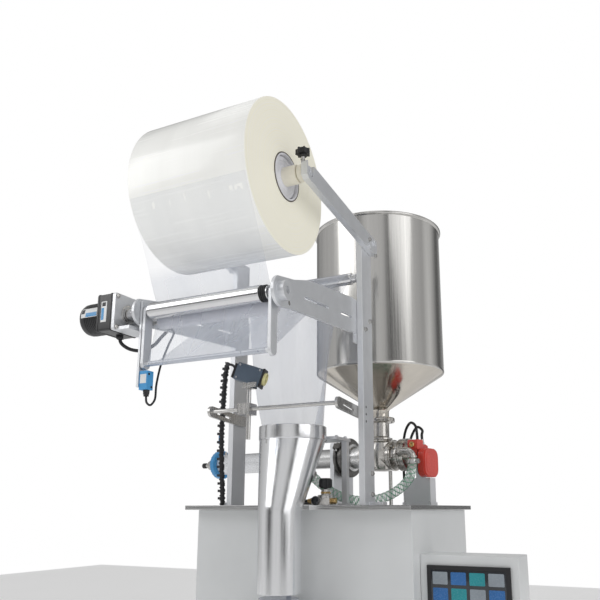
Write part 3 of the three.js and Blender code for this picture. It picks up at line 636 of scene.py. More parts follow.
def add_star_knob(centre):
    inner, outer = 10.3, 13.2
    outline = lobed(7, lambda wave: inner + (outer - inner) * max(0.0, wave) ** 0.6)
    head = span("star_knob")[1].z - centre.z
    place = placed((middle("star_knob").x, centre.y, centre.z))
    shape = Shape().prism(outline, head - 10, head, place, 0)
    shape.steps([(7, head - 13.5, head - 9)], place, 0, 32).steps([(6.2, head - 0.5, head)], place, 0, 32)
    shape.steps([(2.9, 10.6, head - 12), (3.9, head - 20, head - 13)], place, 1, 32)
    for k in range(9):
        shape.lathe([(2.9, 13 + k * 1.6), (3.25, 13.7 + k * 1.6), (2.9, 14.4 + k * 1.6)], place, 1, 24)
    piece("lobed_locking_knob", shape, [BLACK, STEEL], "locking_screw", ["star_knob"],
          bevel=1.1)


# ---- rollers -------------------------------------------------------------------------------------
def add_rollers():
    drive, nip, idler = middle("drive_roller"), middle("nip_roller"), middle("upper_idler")
    on = placed((0, drive.y, drive.z), "x")
    shape = Shape().lathe([(0, -180), (6, -180), (6, -170), (10.4, -170), (11, -169.4), (11, -160),
                           (9.8, -159.4), (9.8, -158.6), (11, -158), (11, -148.6), (10.4, -148), (6, -148),
                           (6, -122.5), (12, -122.5), (12, -119), (14.4, -119), (15, -118.2), (15, 107.3),
                           (14.4, 108), (11, 108), (11, 119), (6, 119), (6, 151), (0, 151)], on, 0, 96)
    for k in range(3):
        rise = 109 + k * 3.6
        shape.lathe([(10.8, rise), (13.6, rise), (14, rise + 0.5), (14, rise + 2.1), (13.6, rise + 2.6),
                     (10.8, rise + 2.6)], on, 1, 64)
    shape.lathe([(5.9, 119.2), (11, 119.2), (12, 120), (12, 122), (5.9, 122.4)], on, 0, 64)
    piece("polished_drive_roller", shape, [POLISHED, BLACK], "drive", ["drive_roller"],
          bevel=0.2)

    on = placed((0, nip.y, nip.z), "x")
    shape = Shape().steps([(3.9, -143, 143)], on, 1, 32)
    shape.lathe(mirrored([(3.8, 119), (13, 119), (14, 118)]), on, 0, 96)
    piece("pale_nip_roller", shape, [PALE, STEEL], "nip", ["nip_roller"], bevel=0.2)

    on = placed((0, idler.y, idler.z), "x")
    ends = [(0, 143.5), (6, 143.5), (6, 134), (9, 134), (9, 124), (11.4, 124), (12, 123.2)]
    shape = Shape().lathe(mirrored(ends), on, 0, 96)
    piece("top_idler_roller", shape, POLISHED, "idler", ["upper_idler"], bevel=0.2)


# ---- gearmotor -----------------------------------------------------------------------------------
def add_gearmotor():
    centre = middle("drive_roller")
    y, z = centre.y, centre.z
    on = placed((0, y, z), "x")
    case, half = Shape(), 34
    square = rounded(rectangle(-half, -half, half, half), 4)
    case.prism(square, -181, -174, on, 0)
    case.box((-175, y + 21, z - half), (-144.3, y + 29, z + 30))
    case.box((-175, y - 28, z - half), (-144.3, y + 29, z - 28))
    case.lathe([(8.2, -174.2), (17, -174.2), (17, -172), (15, -171), (8.2, -171)], on, 1, 48)
    for dy, dz in on_circle(40, angles(4, pi / 4)):
        case.hex_bolt(placed((-174, y + dy, z + dz), "x"), 4, 3.6, 1)
    for b in (-22, 2, 22):
        case.cap_screw(placed((-157, y + 21, z + b), "-y"), 3, 3, 1)
    for a in (-18, 12):
        case.cap_screw(placed((-160, y + a, z - 28)), 3, 3, 1)
    piece("motor_bracket", case, [ALUMINIUM, STEEL], HOME, ["gearbox"], bevel=0.7)

    motor = Shape()
    motor.prism(square, -216, -181.3, on, 0)
    for x in (-213, -184.5):
        motor.prism([(a * 1.02, b * 1.02) for a, b in square], x - 1.4, x + 1.4, on, 0)
    ribs = [(0, -268), (18, -268), (24, -266.6), (28, -263.5), (29.6, -259), (29.8, -256)]
    for k in range(9):
        x = -254 + k * 4.2
        ribs += [(30, x), (30, x + 2.7), (28.9, x + 3.1), (28.9, x + 3.8)]
    ribs += [(30, -215.5), (30, -215), (0, -215)]
    motor.lathe(ribs, on, 0, 96)
    motor.lathe([(12, -267.6), (14, -269), (16, -267.6)], on, 0, 48)
    front = y - half
    motor.box((-206, front - 0.6, z - 18), (-193, front + 0.3, z + 20), material=2)
    motor.box((-205, front - 0.9, z - 14), (-199, front + 0.1, z + 8), material=3)
    motor.box((-203.5, front - 0.9, z + 11), (-195.5, front + 0.1, z + 18), material=4)

    def sticker(x0, x1, start, end, reach, material):
        turn = [radians(start + (end - start) * k / 8) for k in range(9)]
        rows = [[(x, y - reach * sin(a), z + reach * cos(a)) for a in turn] for x in (x0, x1)]
        motor.grid(rows, material)

    sticker(-258, -220, 62, 96, 30.3, 2)
    sticker(-247, -221, 80, 94, 30.6, 3)
    sticker(-257, -250, 66, 82, 30.6, 4)
    piece("ribbed_motor", motor, [BLACK_PAINT, STEEL, WHITE, BLUE, BLACK], HOME, ["gearmotor"],
          bevel=0.5)

    # The lead hangs in a loop and goes into a gland on the side plate.
    gland = (-143.9, y + 93, z - 4.5)
    route = [(-200, y + 10, z - 36), (-198, y + 12, z - 46), (-188, y + 22, z - 56), (-174, y + 42, z - 57),
             (-167, y + 66, z - 42), (-162, y + 82, z - 22), (-154, y + 91, z - 8), gland]
    cable = Shape().sweep(curve(route, 3), 3.2, 0, 20)
    cable.lathe([(3.3, 0), (6.5, 0), (6.5, 4), (5, 6), (3.3, 7)], placed(gland, "-x"), 0, 24)
    outlet = placed((-200, y + 10, z - 34.3), "-z")
    cable.lathe([(3.4, 0), (6.5, 0), (6.5, 3.5), (5, 5.5), (3.4, 6)], outlet, 0, 24)
    piece("motor_lead", cable, BLACK, HOME, ["motor_cable"], bevel=0)


# ---- film web ------------------------------------------------------------------------------------
FILM_HALF = 118
FILM_CLEARANCE = 0.5
SHEET_STEP = 4.0
ARC_STEP = 1.5
DRIVE_RADIUS, NIP_RADIUS, IDLER_RADIUS, BAR_RADIUS = 15, 14, 12, 4.5
BAR_DROP = 95  # from the drive roller's axis down to the dancer's bar
FREE_END = 0.56  # the share of the lead that hangs free between the roll and the drive roller
TUBE_Y = -49  # the axis of the fill tube and of the film round it


def yz_arc(centre, radius, start, end):
    count = max(2, round(abs(radians(end - start)) * radius / ARC_STEP))
    turn = [radians(start + (end - start) * k / count) for k in range(count + 1)]
    return [Vector((centre.y + radius * cos(a), centre.z + radius * sin(a))) for a in turn]


def evenly(path, step):
    """The same path cut into even steps, as (point, distance along)."""
    total = sum((b - a).length for a, b in zip(path, path[1:]))
    count = round(total / step)
    made, i, before = [], 0, 0.0
    for k in range(count + 1):
        wanted = total * k / count
        while i < len(path) - 2 and before + (path[i + 1] - path[i]).length < wanted:
            before += (path[i + 1] - path[i]).length
            i += 1
        side = path[i + 1] - path[i]
        made.append((path[i] + side * min(1.0, (wanted - before) / side.length), wanted))
    return made, total


BEND_ROUNDS = 40  # halvings in the search for a bend's angle


def bent(half_width, flat_half, count):
    """A flat strip's section bent to an arc that shows half_width each side: (x, depth) across it."""
    low, high = 1e-3, pi * 0.97  # the flattest and the roundest bend
    for _ in range(BEND_ROUNDS):
        angle = (low + high) / 2
        shown = flat_half * (sin(angle) if angle < pi / 2 else 1) / angle
        low, high = (angle, high) if shown > half_width else (low, angle)
    radius = flat_half / angle
    across = [angle * (2 * k / count - 1) for k in range(count + 1)]
    return [(radius * sin(a), radius * (1 - cos(a))) for a in across]


def creases(x, s, size, seed):
    """How far a slack film stands off its plane."""
    wave = noise.noise(Vector((x / 26, s / 150, seed)))
    wave += 0.6 * noise.noise(Vector((x / 11, s / 110, seed + 7)))
    ridge = 1 - abs(noise.noise(Vector((x / 34 + s / 210, s / 260, seed + 3)))) * 6
    return size * (wave + 0.35 * max(0.0, ridge))


def web_rows(path, width_at, slack_at, seed):
    rows = []
    points, total = evenly(path, SHEET_STEP)
    columns = round(2 * FILM_HALF / SHEET_STEP)
    for i, (point, s) in enumerate(points):
        along = heading([spot for spot, _ in points], i)
        front = Vector((-along.y, along.x))
        row = []
        for x, depth in bent(width_at(point), FILM_HALF, columns):
            off = creases(x, s, slack_at(point, s / total), seed)
            spot = point - Vector((depth, 0)) + front * off
            row.append((x, spot.x, spot.y))
        rows.append(row)
    return rows, total


def add_film():
    roll, drive, nip = middle("film_core"), middle("drive_roller"), middle("nip_roller")
    idler = middle("upper_idler")
    bar = Vector((0, drive.y, drive.z - BAR_DROP))
    gap = FILM_CLEARANCE
    lead = [
        *yz_arc(roll, half_height("film_roll") + gap, 200, 207.3),
        *yz_arc(drive, DRIVE_RADIUS + gap, 27.5, -23),
        *yz_arc(nip, NIP_RADIUS + gap, 158, 168),
        *yz_arc(bar, BAR_RADIUS + gap, 176, 262),
    ]

    def lead_slack(_, share):
        hanging = max(0.0, sin(pi * min(1.0, share / FREE_END))) if share < FREE_END else 0.0
        below = max(0.0, sin(pi * (share - 0.72) / 0.26)) if 0.72 < share < 0.98 else 0.0
        return 3.4 * hanging + 0.9 * below

    rows, length = web_rows(lead, lambda point: FILM_HALF, lead_slack, 2.0)
    sheet = piece("film_web_lead", Shape().grid(rows), LEAD_FILM, None, ["film_lead"], bevel=0)
    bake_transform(sheet)

    inside = 62.8  # half the film's width, and how far back it lies, where it goes into the funnel
    top_z = idler.z
    end_z = span("forming_funnel")[1].z - 22
    run = [*yz_arc(bar, BAR_RADIUS + gap, 268, 318), *yz_arc(idler, IDLER_RADIUS + gap, 124, 0)]
    back = idler.y + IDLER_RADIUS + gap
    for k in range(1, 31):
        t = k / 30
        run.append(Vector((back + (inside - back) * t**1.15, top_z + (end_z - top_z) * t)))
    past_idler = idler.y + 11

    def run_width(point):
        if point.x < past_idler or point.y > top_z - 2:
            return FILM_HALF
        t = min(1.0, (top_z - point.y) / (top_z - end_z - 22))
        return FILM_HALF + (inside - FILM_HALF) * t

    def run_slack(point, _):
        if point.x < past_idler:
            return 1.1 * max(0.0, sin(pi * (point.x - bar.y) / (idler.y - 14 - bar.y)))
        t = (top_z - point.y) / (top_z - end_z)
        return 2.6 * max(0.0, sin(pi * min(1.0, t * 1.05))) + 0.3 * t

    rows, length = web_rows(run, run_width, run_slack, 5.0)
    sheet = piece("film_web_run", Shape().grid(rows), CLEAR_FILM, None, ["film_run"], bevel=0)
    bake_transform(sheet)


def add_film_tube():
    """The film below the funnel: round where it leaves the tube, flat at the seals, full between them."""
    y, half, seal = TUBE_Y, 60, 0.6
    keys = [(-630, half, seal), (-622, half, 2.4), (-600, half - 2, 8), (-575, half - 3, 10.8),
            (-545, half - 2, 8), (-522, half, 2.6), (-516, half, seal), (-484, half, seal), (-478, half, 2.6),
            (-455, half - 2, 8), (-425, half - 4, 10.8), (-390, 54, 15), (-345, 45, 28), (-300, 38, 38),
            (-240, 38, 38), (-165, 38, 38)]
    rows = []
    for (z0, a0, b0), (z1, a1, b1) in zip(keys, keys[1:]):
        count = max(1, round((z1 - z0) / 4))
        for k in range(count):
            t = k / count
            ease = t * t * (3 - 2 * t)
            z, a, b = z0 + (z1 - z0) * t, a0 + (a1 - a0) * ease, b0 + (b1 - b0) * ease
            row = []
            for turn in angles(72):
                pull = 0.9 * noise.noise(Vector((cos(turn) * 4, sin(turn) * 4, z / 26))) * min(1.0, b / 8)
                if z > -300:
                    pull = -abs(pull) * 0.6
                row.append(((a + pull) * cos(turn), y + (b + pull) * sin(turn), z))
            rows.append(row)
    shape = Shape().grid(rows, 0, True)
    for z0, z1 in ((-512, -488), (-629, -618)):
        shape.box((-half + 1, y - seal - 0.25, z0), (half - 1, y - seal + 0.1, z1), material=1)
    shape.box((-5, y + 37.2, -298), (5, y + 38.4, -166), material=1)
    piece("filled_film_tube", shape, [BAG_FILM, CLEAR_FILM], HOME, ["film_tube"], bevel=0)


# ---- forming funnel and fill tube ----------------------------------------------------------------
def add_funnel():
    low, high = span("forming_funnel")
    ring_radius, tube_radius, wall = 67, 42, 1.6
    top, bottom = high.z, high.z - 25

    def skin(inset):
        sections = [(TUBE_Y, min(low.z, -160), tube_radius), (TUBE_Y, -18, tube_radius)]
        steps = 18
        for k in range(steps + 1):
            t = k / steps
            ease = t if t > 0.08 else t * 0.9
            radius = tube_radius + (ring_radius - tube_radius) * ease
            sections.append((TUBE_Y * (1 - ease), -10 + (bottom + 10) * t, radius))
        sections.append((0, top, ring_radius))
        return [[(x, mid + y, z) for x, y in on_circle(r - inset, angles(96))] for mid, z, r in sections]

    outer, inner = skin(0), skin(wall)
    shape = Shape().grid([*outer, *inner[::-1], outer[0]], 0, True)
    band = placed((0, 0, 0))
    shape.lathe([(66.6, bottom - 1), (68, bottom - 1), (68.2, bottom), (68.2, top - 0.8), (67.6, top),
                 (66.6, top)], band, 0, 128)
    shape.lathe([(67.2, bottom - 2.6), (68.6, bottom - 1.6), (67.2, bottom - 0.6)], band, 0, 128)
    flap = []
    for k in range(25):
        t = k / 24
        radius = tube_radius + (ring_radius - tube_radius) * t + 0.9
        centre_y = TUBE_Y * (1 - t)
        turn = [radians(-76 + 34 * t + j * 0.9) for j in range(12)]
        flap.append([(radius * cos(a), centre_y + radius * sin(a), -8 + (bottom + 5) * t) for a in turn])
    shape.grid(flap, 0)
    piece("funnel_skin", shape, FUNNEL_STEEL, HOME, ["forming_funnel"], bevel=0.25)

    yoke = Shape()
    reach = 67.5
    cut = math.asin(40 / reach)
    notch = on_circle(reach, [pi - cut - (pi - 2 * cut) * k / 24 for k in range(25)])
    outline = [(78, 40), (78, 112), (-78, 112), (-78, 40), *notch]
    yoke.prism(outline, bottom + 2, bottom + 8)
    for side in (-1, 1):
        yoke.box((side * 70 - 6, 96, 0.3), (side * 70 + 6, 108, bottom + 2.2))
        yoke.box((side * 70 - 14, 92, 0.3), (side * 70 + 14, 111.5, 4))
        yoke.hex_bolt(placed((side * 70, 102, bottom + 8)), 4.5, 4)
        yoke.cap_screw(placed((side * 74, 50, bottom + 8)), 3, 2.6)
    piece("funnel_yoke", yoke, ALUMINIUM, HOME, bevel=0.6)

    elbow = curve([(0, 61.5, 65), (0, 30, 65), (0, -8, 62), (0, -36, 44), (0, -48, 10), (0, TUBE_Y, -40),
                   (0, TUBE_Y, -150)], 5)
    filler = Shape().sweep(elbow, 13, 0, 32, close=False).sweep(elbow, 11, 0, 32, close=False)
    filler.pipe(13, 11, -151, -149.5, placed((0, TUBE_Y, 0)), 0, 32)
    filler.lathe([(10.2, 0), (15.5, 0), (15.5, 5), (12.6, 6), (10.2, 6)], placed((0, 66, 65), "y"), 0, 48)
    piece("bent_fill_tube", filler, STEEL, HOME, ["fill_tube"], bevel=0)


# ---- hopper --------------------------------------------------------------------------------------
def add_hopper():
    low, high = span("hopper")
    centre = over("hopper")
    r = (high.x - low.x) / 2 - 5
    rim, outlet, seam, cone_end, neck, wall = high.z, low.z, 300, 217, 19, 1.6
    on = placed(centre)
    turn = [radians(a) for a in range(-90, 181, 15)]
    bead = [(r + 2.1 + 2.6 * cos(a), rim - 3.2 + 3.2 * sin(a)) for a in turn]
    weld = [(r, seam + 6), (r + 0.5, seam + 5), (r + 0.5, seam + 2), (r, seam + 1)]
    outer = [(neck, outlet + 6), (neck, cone_end - 4), (neck + 1.2, cone_end - 1),
             (neck + 3.4, cone_end + 1.6), (r - 3, seam - 2.2), (r - 1, seam - 0.6), *weld[::-1],
             (r, rim - 8)]
    inner = [(r - wall, rim - 2), (r - wall, seam + 2), (r - wall - 2, seam), (neck - wall, cone_end),
             (neck - wall, outlet)]
    shape = Shape().lathe([*outer, *bead, *inner], on, 0, 160)
    shape.lathe([(neck - wall, outlet), (neck + 7, outlet), (neck + 7, outlet + 2.4),
                 (neck + 4, outlet + 5.4), (neck, outlet + 6.4)], on, 0, 96)
    lip = ((198.6, 0), (199, 0.55), (199.4, 0.55), (199.8, 0))  # the upright seam: degrees, height
    upright = [on_circle(r + rise, [radians(a)])[0] for a, rise in lip]
    shape.grid([[centre + Vector((x, y, z)) for x, y in upright] for z in (seam + 6, rim - 8)], 0)
    for face in shape.bm.faces:
        if max(corner.co.z for corner in face.verts) < seam:
            face.material_index = 1
    piece("hopper_shell", shape, [HOPPER_STEEL, CONE_STEEL], HOME, ["hopper"], bevel=0)

    clamp = Shape()
    mid = outlet - 0.4
    clamp.lathe([(27, mid - 4.6), (30.5, mid - 5), (32, mid - 3), (32, mid + 4), (30.5, mid + 6),
                 (27, mid + 5.6)], on, 0, 96)
    ear, hinge = (Matrix.Translation(over("hopper", mid)) @ spun(a, "Z") for a in (-62, 118))
    clamp.box((30, -6, -4.5), (41, -1.2, 5.5), ear).box((30, 1.2, -4.5), (41, 6, 5.5), ear)
    across = ear @ placed((37, 0, 0.4), "y")
    clamp.steps([(2.6, -15, 11)], across, 0, 24).steps([(5.5, 6, 10)], across, 0, 6)
    for side in (-1, 1):
        wing = [(0, -3), (side * 5, -4), (side * 13, 1), (side * 12, 5), (side * 5, 3), (0, 3)]
        clamp.prism(wing, 10, 14, across, 0)
    clamp.box((30, -7, -4), (37, 7, 5), hinge)
    piece("outlet_clamp", clamp, CAST, HOME, bevel=0.5)


# ---- piston filler -------------------------------------------------------------------------------
PUMP_YAW = 12
PUMP_Z = middle("pump_piston").z
DECK = -PUMP_Z  # the deck's top in the pump's own axes
ON_DECK = DECK + 0.3
PUMP = Matrix.Translation(over("hopper", PUMP_Z)) @ spun(-PUMP_YAW, "Z")
ALONG = PUMP @ TURNS["x"]


def around(x, reach, count, draw, size, height, material, turned=0.0, axis="x"):
    """Screws or bolts on a circle round the pump's axis."""
    for y, z in on_circle(reach, angles(count, turned)):
        draw(PUMP @ placed((x, y, z), axis), size, height, material)


def add_valve():
    neck_top = span("hopper")[0].z - PUMP_Z - 0.3
    shape = Shape()
    shape.lathe([(15, 20), (15, neck_top), (26, neck_top), (26, neck_top - 2.4), (23, neck_top - 5.4),
                 (19, neck_top - 6.4), (19, 44), (22, 41), (26, 40), (26, 37), (24, 36), (22, 30), (22, 20)],
                PUMP, 0, 96)
    bowl = [(0, -34), (20, -34), (27, -31), (31, -22), (31, 22), (29, 29), (24, 33), (0, 33)]
    shape.lathe(bowl, PUMP, 0, 96)
    shape.lathe([(21, -44), (33, -44), (33, -36), (30, -34), (29, -30), (29, 24), (31, 27), (33, 29),
                 (33, 33), (35, 33.5), (35, 37), (33, 37.5), (33, 40), (24, 40), (23, 43), (23, 54), (24, 56),
                 (36, 56), (36, 60.2), (34.4, 60.6), (34.4, 61.6), (36, 62), (36, 66), (33, 66.2), (33, 66.8),
                 (36, 67), (36, 76), (24, 76), (24, 85.6), (6.6, 85.6)], ALONG, 0, 96)
    around(56, 30, 6, shape.hex_bolt, 3.6, 4, 1, 0.3, "-x")
    around(40, 28, 6, shape.cap_screw, 2.6, 3, 1, 0.3)
    around(-44, 27.5, 6, shape.cap_screw, 2.6, 0.2, 1)
    elbow = curve([(68, -26, 0), (73, -43, 4), (86, -53, 4), (103, -53, 3), (112, -52, -6),
                   (112, -52, -12.4)], 2)
    shape.sweep([PUMP @ p for p in elbow], 8, 0, 32)
    spigot = PUMP @ placed((112, -52, -12.4))
    shape.lathe([(8, 6), (10.5, 5), (10.5, 1.5), (8, 0.5)], spigot, 0, 48)
    piece("three_way_valve", shape, [CAST, STEEL], HOME, ["valve_body"], bevel=0.35)

    shape = Shape().steps([(19.8, -8, 45), (6, 45, 102)], ALONG, 0, 64)
    piece("valve_plug", shape, STEEL, "rotor", ["valve_rotor"], bevel=0.5)

    clip = Shape()
    for spot, m in (((186.7, 190.9, 92), TURNS["z"]), ((0, 71, 64.4), TURNS["y"])):
        place = Matrix.Translation(spot) @ m
        clip.lathe(mirrored([(9.9, 4), (10.9, 4), (11.2, 3.4)]), place, 0, 64)
        clip.box((9.5, -4, -5), (16, 4, 5), place, 0)
        clip.steps([(2.4, -8, 8)], place @ placed((13.4, 0, 0), "y"), 0, 16)
    piece("hose_clips", clip, STEEL, HOME, bevel=0.3)


def add_barrel():
    shape = Shape()
    shape.pipe(23, 19.5, -230, -110, ALONG, 0, 96)
    shape.lathe([(19.5, -84), (32, -84), (32, -78), (26, -76), (26, -54), (32, -52), (32, -44.6),
                 (19.5, -44.6), (19.5, -84)], ALONG, 0, 96)
    shape.lathe([(23, -108), (44, -108), (46, -106), (46, -102), (44, -100), (40, -99.5), (40, -92.5),
                 (44, -92), (46, -90), (46, -86), (44, -84), (23, -84), (23, -108)], ALONG, 1, 96)
    for a in (60, 240):
        lug = PUMP @ placed((-96, 0, 0)) @ spun(a, "X")
        shape.box((-9, -7, 42), (9, 7, 53), lug, 1)
        shape.steps([(3, -13, 13)], lug @ placed((0, 0, 48), "y"), 0, 24)
        shape.hex_bolt(lug @ placed((0, 7, 48), "y"), 4.6, 5, 0)
    plate = rounded(rectangle(-38, ON_DECK, 38, 34), 6)
    shape.prism(plate, -120, -108.3, PUMP @ ACROSS, 2)
    around(-120, 31, 4, shape.cap_screw, 3.4, 3.4, 0, pi / 4, "-x")
    shape.box((-136, -34, ON_DECK), (-104, 34, DECK + 9), PUMP, 2)
    shape.lathe([(23.2, -231), (29, -231), (29, -214), (27, -212), (23.2, -212), (23.2, -231)], ALONG, 3, 64)
    piece("filler_barrel_and_clamp", shape, [STEEL_X, DARK_STEEL, ALUMINIUM, WHITE], HOME,
          ["filler_barrel"], bevel=0.5)

    rod = Shape().steps([(5, -600, -508), (21.6, -508, -488), (8, -488, -120), (19, -120, -92)], ALONG, 0, 64)
    rod.lathe([(5, -600), (7.4, -600), (7.4, -590), (6.6, -589), (5, -589)], ALONG, 1, 48)
    piece("piston_and_rod", rod, [STEEL, BLACK], "piston", ["pump_piston"], bevel=0.4)


def add_air_cylinder():
    shape = Shape()
    shape.lathe([(22, -508), (26, -508), (26, -256), (22, -256), (22, -508)], ALONG, 0, 96)
    for x0, x1 in ((-520, -505), (-259, -240.3)):
        head = [(8.6, x0), (26.4, x0), (27, x0 + 0.6), (27, x1 - 0.6), (26.4, x1), (8.6, x1), (8.6, x0)]
        shape.lathe(head, ALONG, 1, 96)
        shape.steps([(4.6, 26, 31), (3, 31, 35)], PUMP @ placed(((x0 + x1) / 2, 0, 0)), 2, 24)
    shape.box((-334, -22, ON_DECK), (-296, 22, DECK + 8), PUMP, 1)
    saddle = [(-18, DECK + 7), (18, DECK + 7), (18, -20),
              *on_circle(24, [radians(a) for a in range(-45, -136, -10)]), (-18, -20)]
    shape.prism(saddle, -330, -300, PUMP @ ACROSS, 1)
    for x in (-322, -308):
        shape.lathe([(26.2, x - 3), (27.2, x - 3), (27.2, x + 3), (26.2, x + 3)], ALONG, 2, 64)
    piece("air_cylinder_tube", shape, [PALE_METAL, ALUMINIUM, STEEL], HOME, ["air_cylinder"],
          bevel=0.4)

    cap = Shape()
    cap.lathe([(5.6, -520.4), (36, -520.4), (38, -522), (38, -534), (36, -536), (30, -536.4), (28, -535),
               (5.6, -535)], ALONG, 0, 96)
    for a in angles(24):
        spot = PUMP @ Matrix.Rotation(a, 4, "X") @ placed((-528, 0, 37.2), "x")
        cap.steps([(1.5, -6.5, 6.5)], spot, 0, 10)
    cap.lathe([(5.6, -535), (20, -535), (19.6, -541), (14, -554), (13, -556), (13, -571), (12, -573.6),
               (5.6, -574)], ALONG, 1, 64)
    piece("end_handwheel", cap, [BLUE, STEEL], HOME, ["cylinder_cap"], bevel=0.3)


def add_actuator():
    half, drop = 31, -20
    shape = Shape()
    square = rounded(rectangle(-half, drop - half, half, drop + half), 20, 10)

    def scaled(share):
        return [(a * share, (b - drop) * share + drop) for a, b in square]

    for outline, x0, x1, material in ((square, 113, 127.5, 0), (scaled(0.93), 127.3, 129.8, 0),
                                      (scaled(0.72), 129.6, 130.4, 0), (scaled(0.94), 110, 113.2, 2)):
        shape.prism(outline, x0, x1, PUMP @ ACROSS, material)
    shape.steps([(24, 105, 111)], PUMP @ placed((0, 0, -14), "x"), 0, 64)
    for corners, radius, x0, x1 in (((-26, -30, 22, 20), 5, 86.4, 109.2), ((-30, 8, -4, 30), 4, 88, 112),
                                    ((-22, 12, 18, 22), 2, 88, 107)):
        shape.prism(rounded(rectangle(*corners), radius), x0, x1, PUMP @ ACROSS, 0)
    for k, (y, z) in enumerate(on_circle(25, angles(6, 0.4))):
        shape.cap_screw(PUMP @ placed((127.4, y, drop + z), "x"), 2.6, 2, 1 if k == 4 else 2)
    shape.cap_screw(PUMP @ placed((100, -30, 19), "-y"), 6.2, 4.2, 1)
    shape.cap_screw(PUMP @ placed((96, -26, -10), "-y"), 3, 2.4, 1)
    for x in (91, 103):
        shape.steps([(4.6, 19, 27), (3.4, 27, 33)], PUMP @ placed((x, 8, 0)), 3, 24)
    piece("rotary_actuator", shape, [RED, BRASS, BLACK, STEEL], HOME, ["actuator"], bevel=0.8)

    tubes = Shape()
    for x, reach, rise in ((91, 0, 70), (103, 9, 60)):
        route = [(x, 8, 32), (x - 1, 9, 43), (x - 6, 12 + reach, rise - 6), (x - 24, 22 + reach, rise + 4),
                 (x - 44, 34 + reach, rise - 8), (x - 56, 40 + reach, 30), (x - 58, 42 + reach, -40),
                 (x - 58, 44 + reach, DECK + 1)]
        tubes.sweep([PUMP @ p for p in curve(route, 4)], 3, 0, 16)
        grommet = PUMP @ placed((x - 58, 44 + reach, DECK))
        tubes.lathe([(3.1, 0.2), (6, 0.2), (6, 3), (4.6, 4.4), (3.1, 4.4)], grommet, 0, 24)
    piece("air_tubes", tubes, BLACK, HOME, bevel=0)

    stand = Shape()
    for low, high in (((56, 0, DECK + 6), (124, 24, -52)), ((54, -2, ON_DECK), (126, 26, DECK + 7)),
                      ((87, 4, -54), (103, 20, -30.4))):
        stand.box(low, high, PUMP, 0)
    for x in (60, 120):
        stand.cap_screw(PUMP @ placed((x, 2, DECK + 7)), 2.2, 2, 1)
    stand.steps([(4, DECK + 0.4, -36)], PUMP @ placed((42, -30, 0)), 1, 32)
    piece("actuator_pillar", stand, [ALUMINIUM, STEEL], HOME, ["actuator_stand"], bevel=0.6)


def add_regulator():
    low, high = span("regulator_body")
    x, y = middle("regulator_knob").xy
    on = placed((x, y, 0))
    shape = Shape()
    shape.box((low.x, low.y, low.z), (high.x, high.y, low.z + 14))
    shape.lathe([(0, 13), (16, 13.5), (16, 19), (15, 20), (9.4, 20.4), (9, 22), (9, 30), (8.2, 32), (4.2, 32),
                 (4.2, 22), (0, 22)], on, 1, 64)
    shape.steps([(11, 22.5, 26.5)], on, 2, 6)
    shape.steps([(6, 0, 9), (4.4, 9, 15)], placed((low.x, y, 8.5), "-x"), 2, 24)
    shape.steps([(6, 0, 8)], placed((high.x, y, 8.5), "x"), 2, 6)
    shape.lathe([(0, 0), (9, 0), (9, 3), (8, 4.2), (0, 4.4)], placed((x - 14, low.y, 9), "-y"), 3, 48)
    piece("pressure_regulator", shape, [CAST, STEEL, BRASS, GLASS], HOME,
          ["regulator_body"], bevel=0.6)

    outline = lobed(8, lambda wave: 12.3 + 1.7 * max(-0.4, wave))
    grip = Shape().prism(outline, 35, 51, on, 0).steps([(10.6, 50.6, 53)], on, 0, 48)
    grip.steps([(3.6, 22.4, 34), (11.5, 33, 35.4)], on, 0, 48)
    piece("lobed_pressure_knob", grip, BLACK, "pressure_knob", ["regulator_knob"], bevel=0.9)

    supply = Shape()
    route = [(low.x - 13, y, 8.5), (low.x - 24, y + 1, 8.5), (low.x - 40, y + 12, 6),
             (low.x - 58, y + 40, 4.2), (low.x - 66, y + 90, 4.2), (low.x - 60, y + 150, 4.2)]
    supply.sweep(curve(route, 4), 3, 0, 16)
    supply.lathe([(0, 0.2), (6.5, 0.2), (6.5, 7), (5, 9.5), (0, 9.5)], placed(route[-1][:2] + (0,)), 0, 24)
    piece("air_supply_tube", supply, BLACK, HOME, bevel=0)


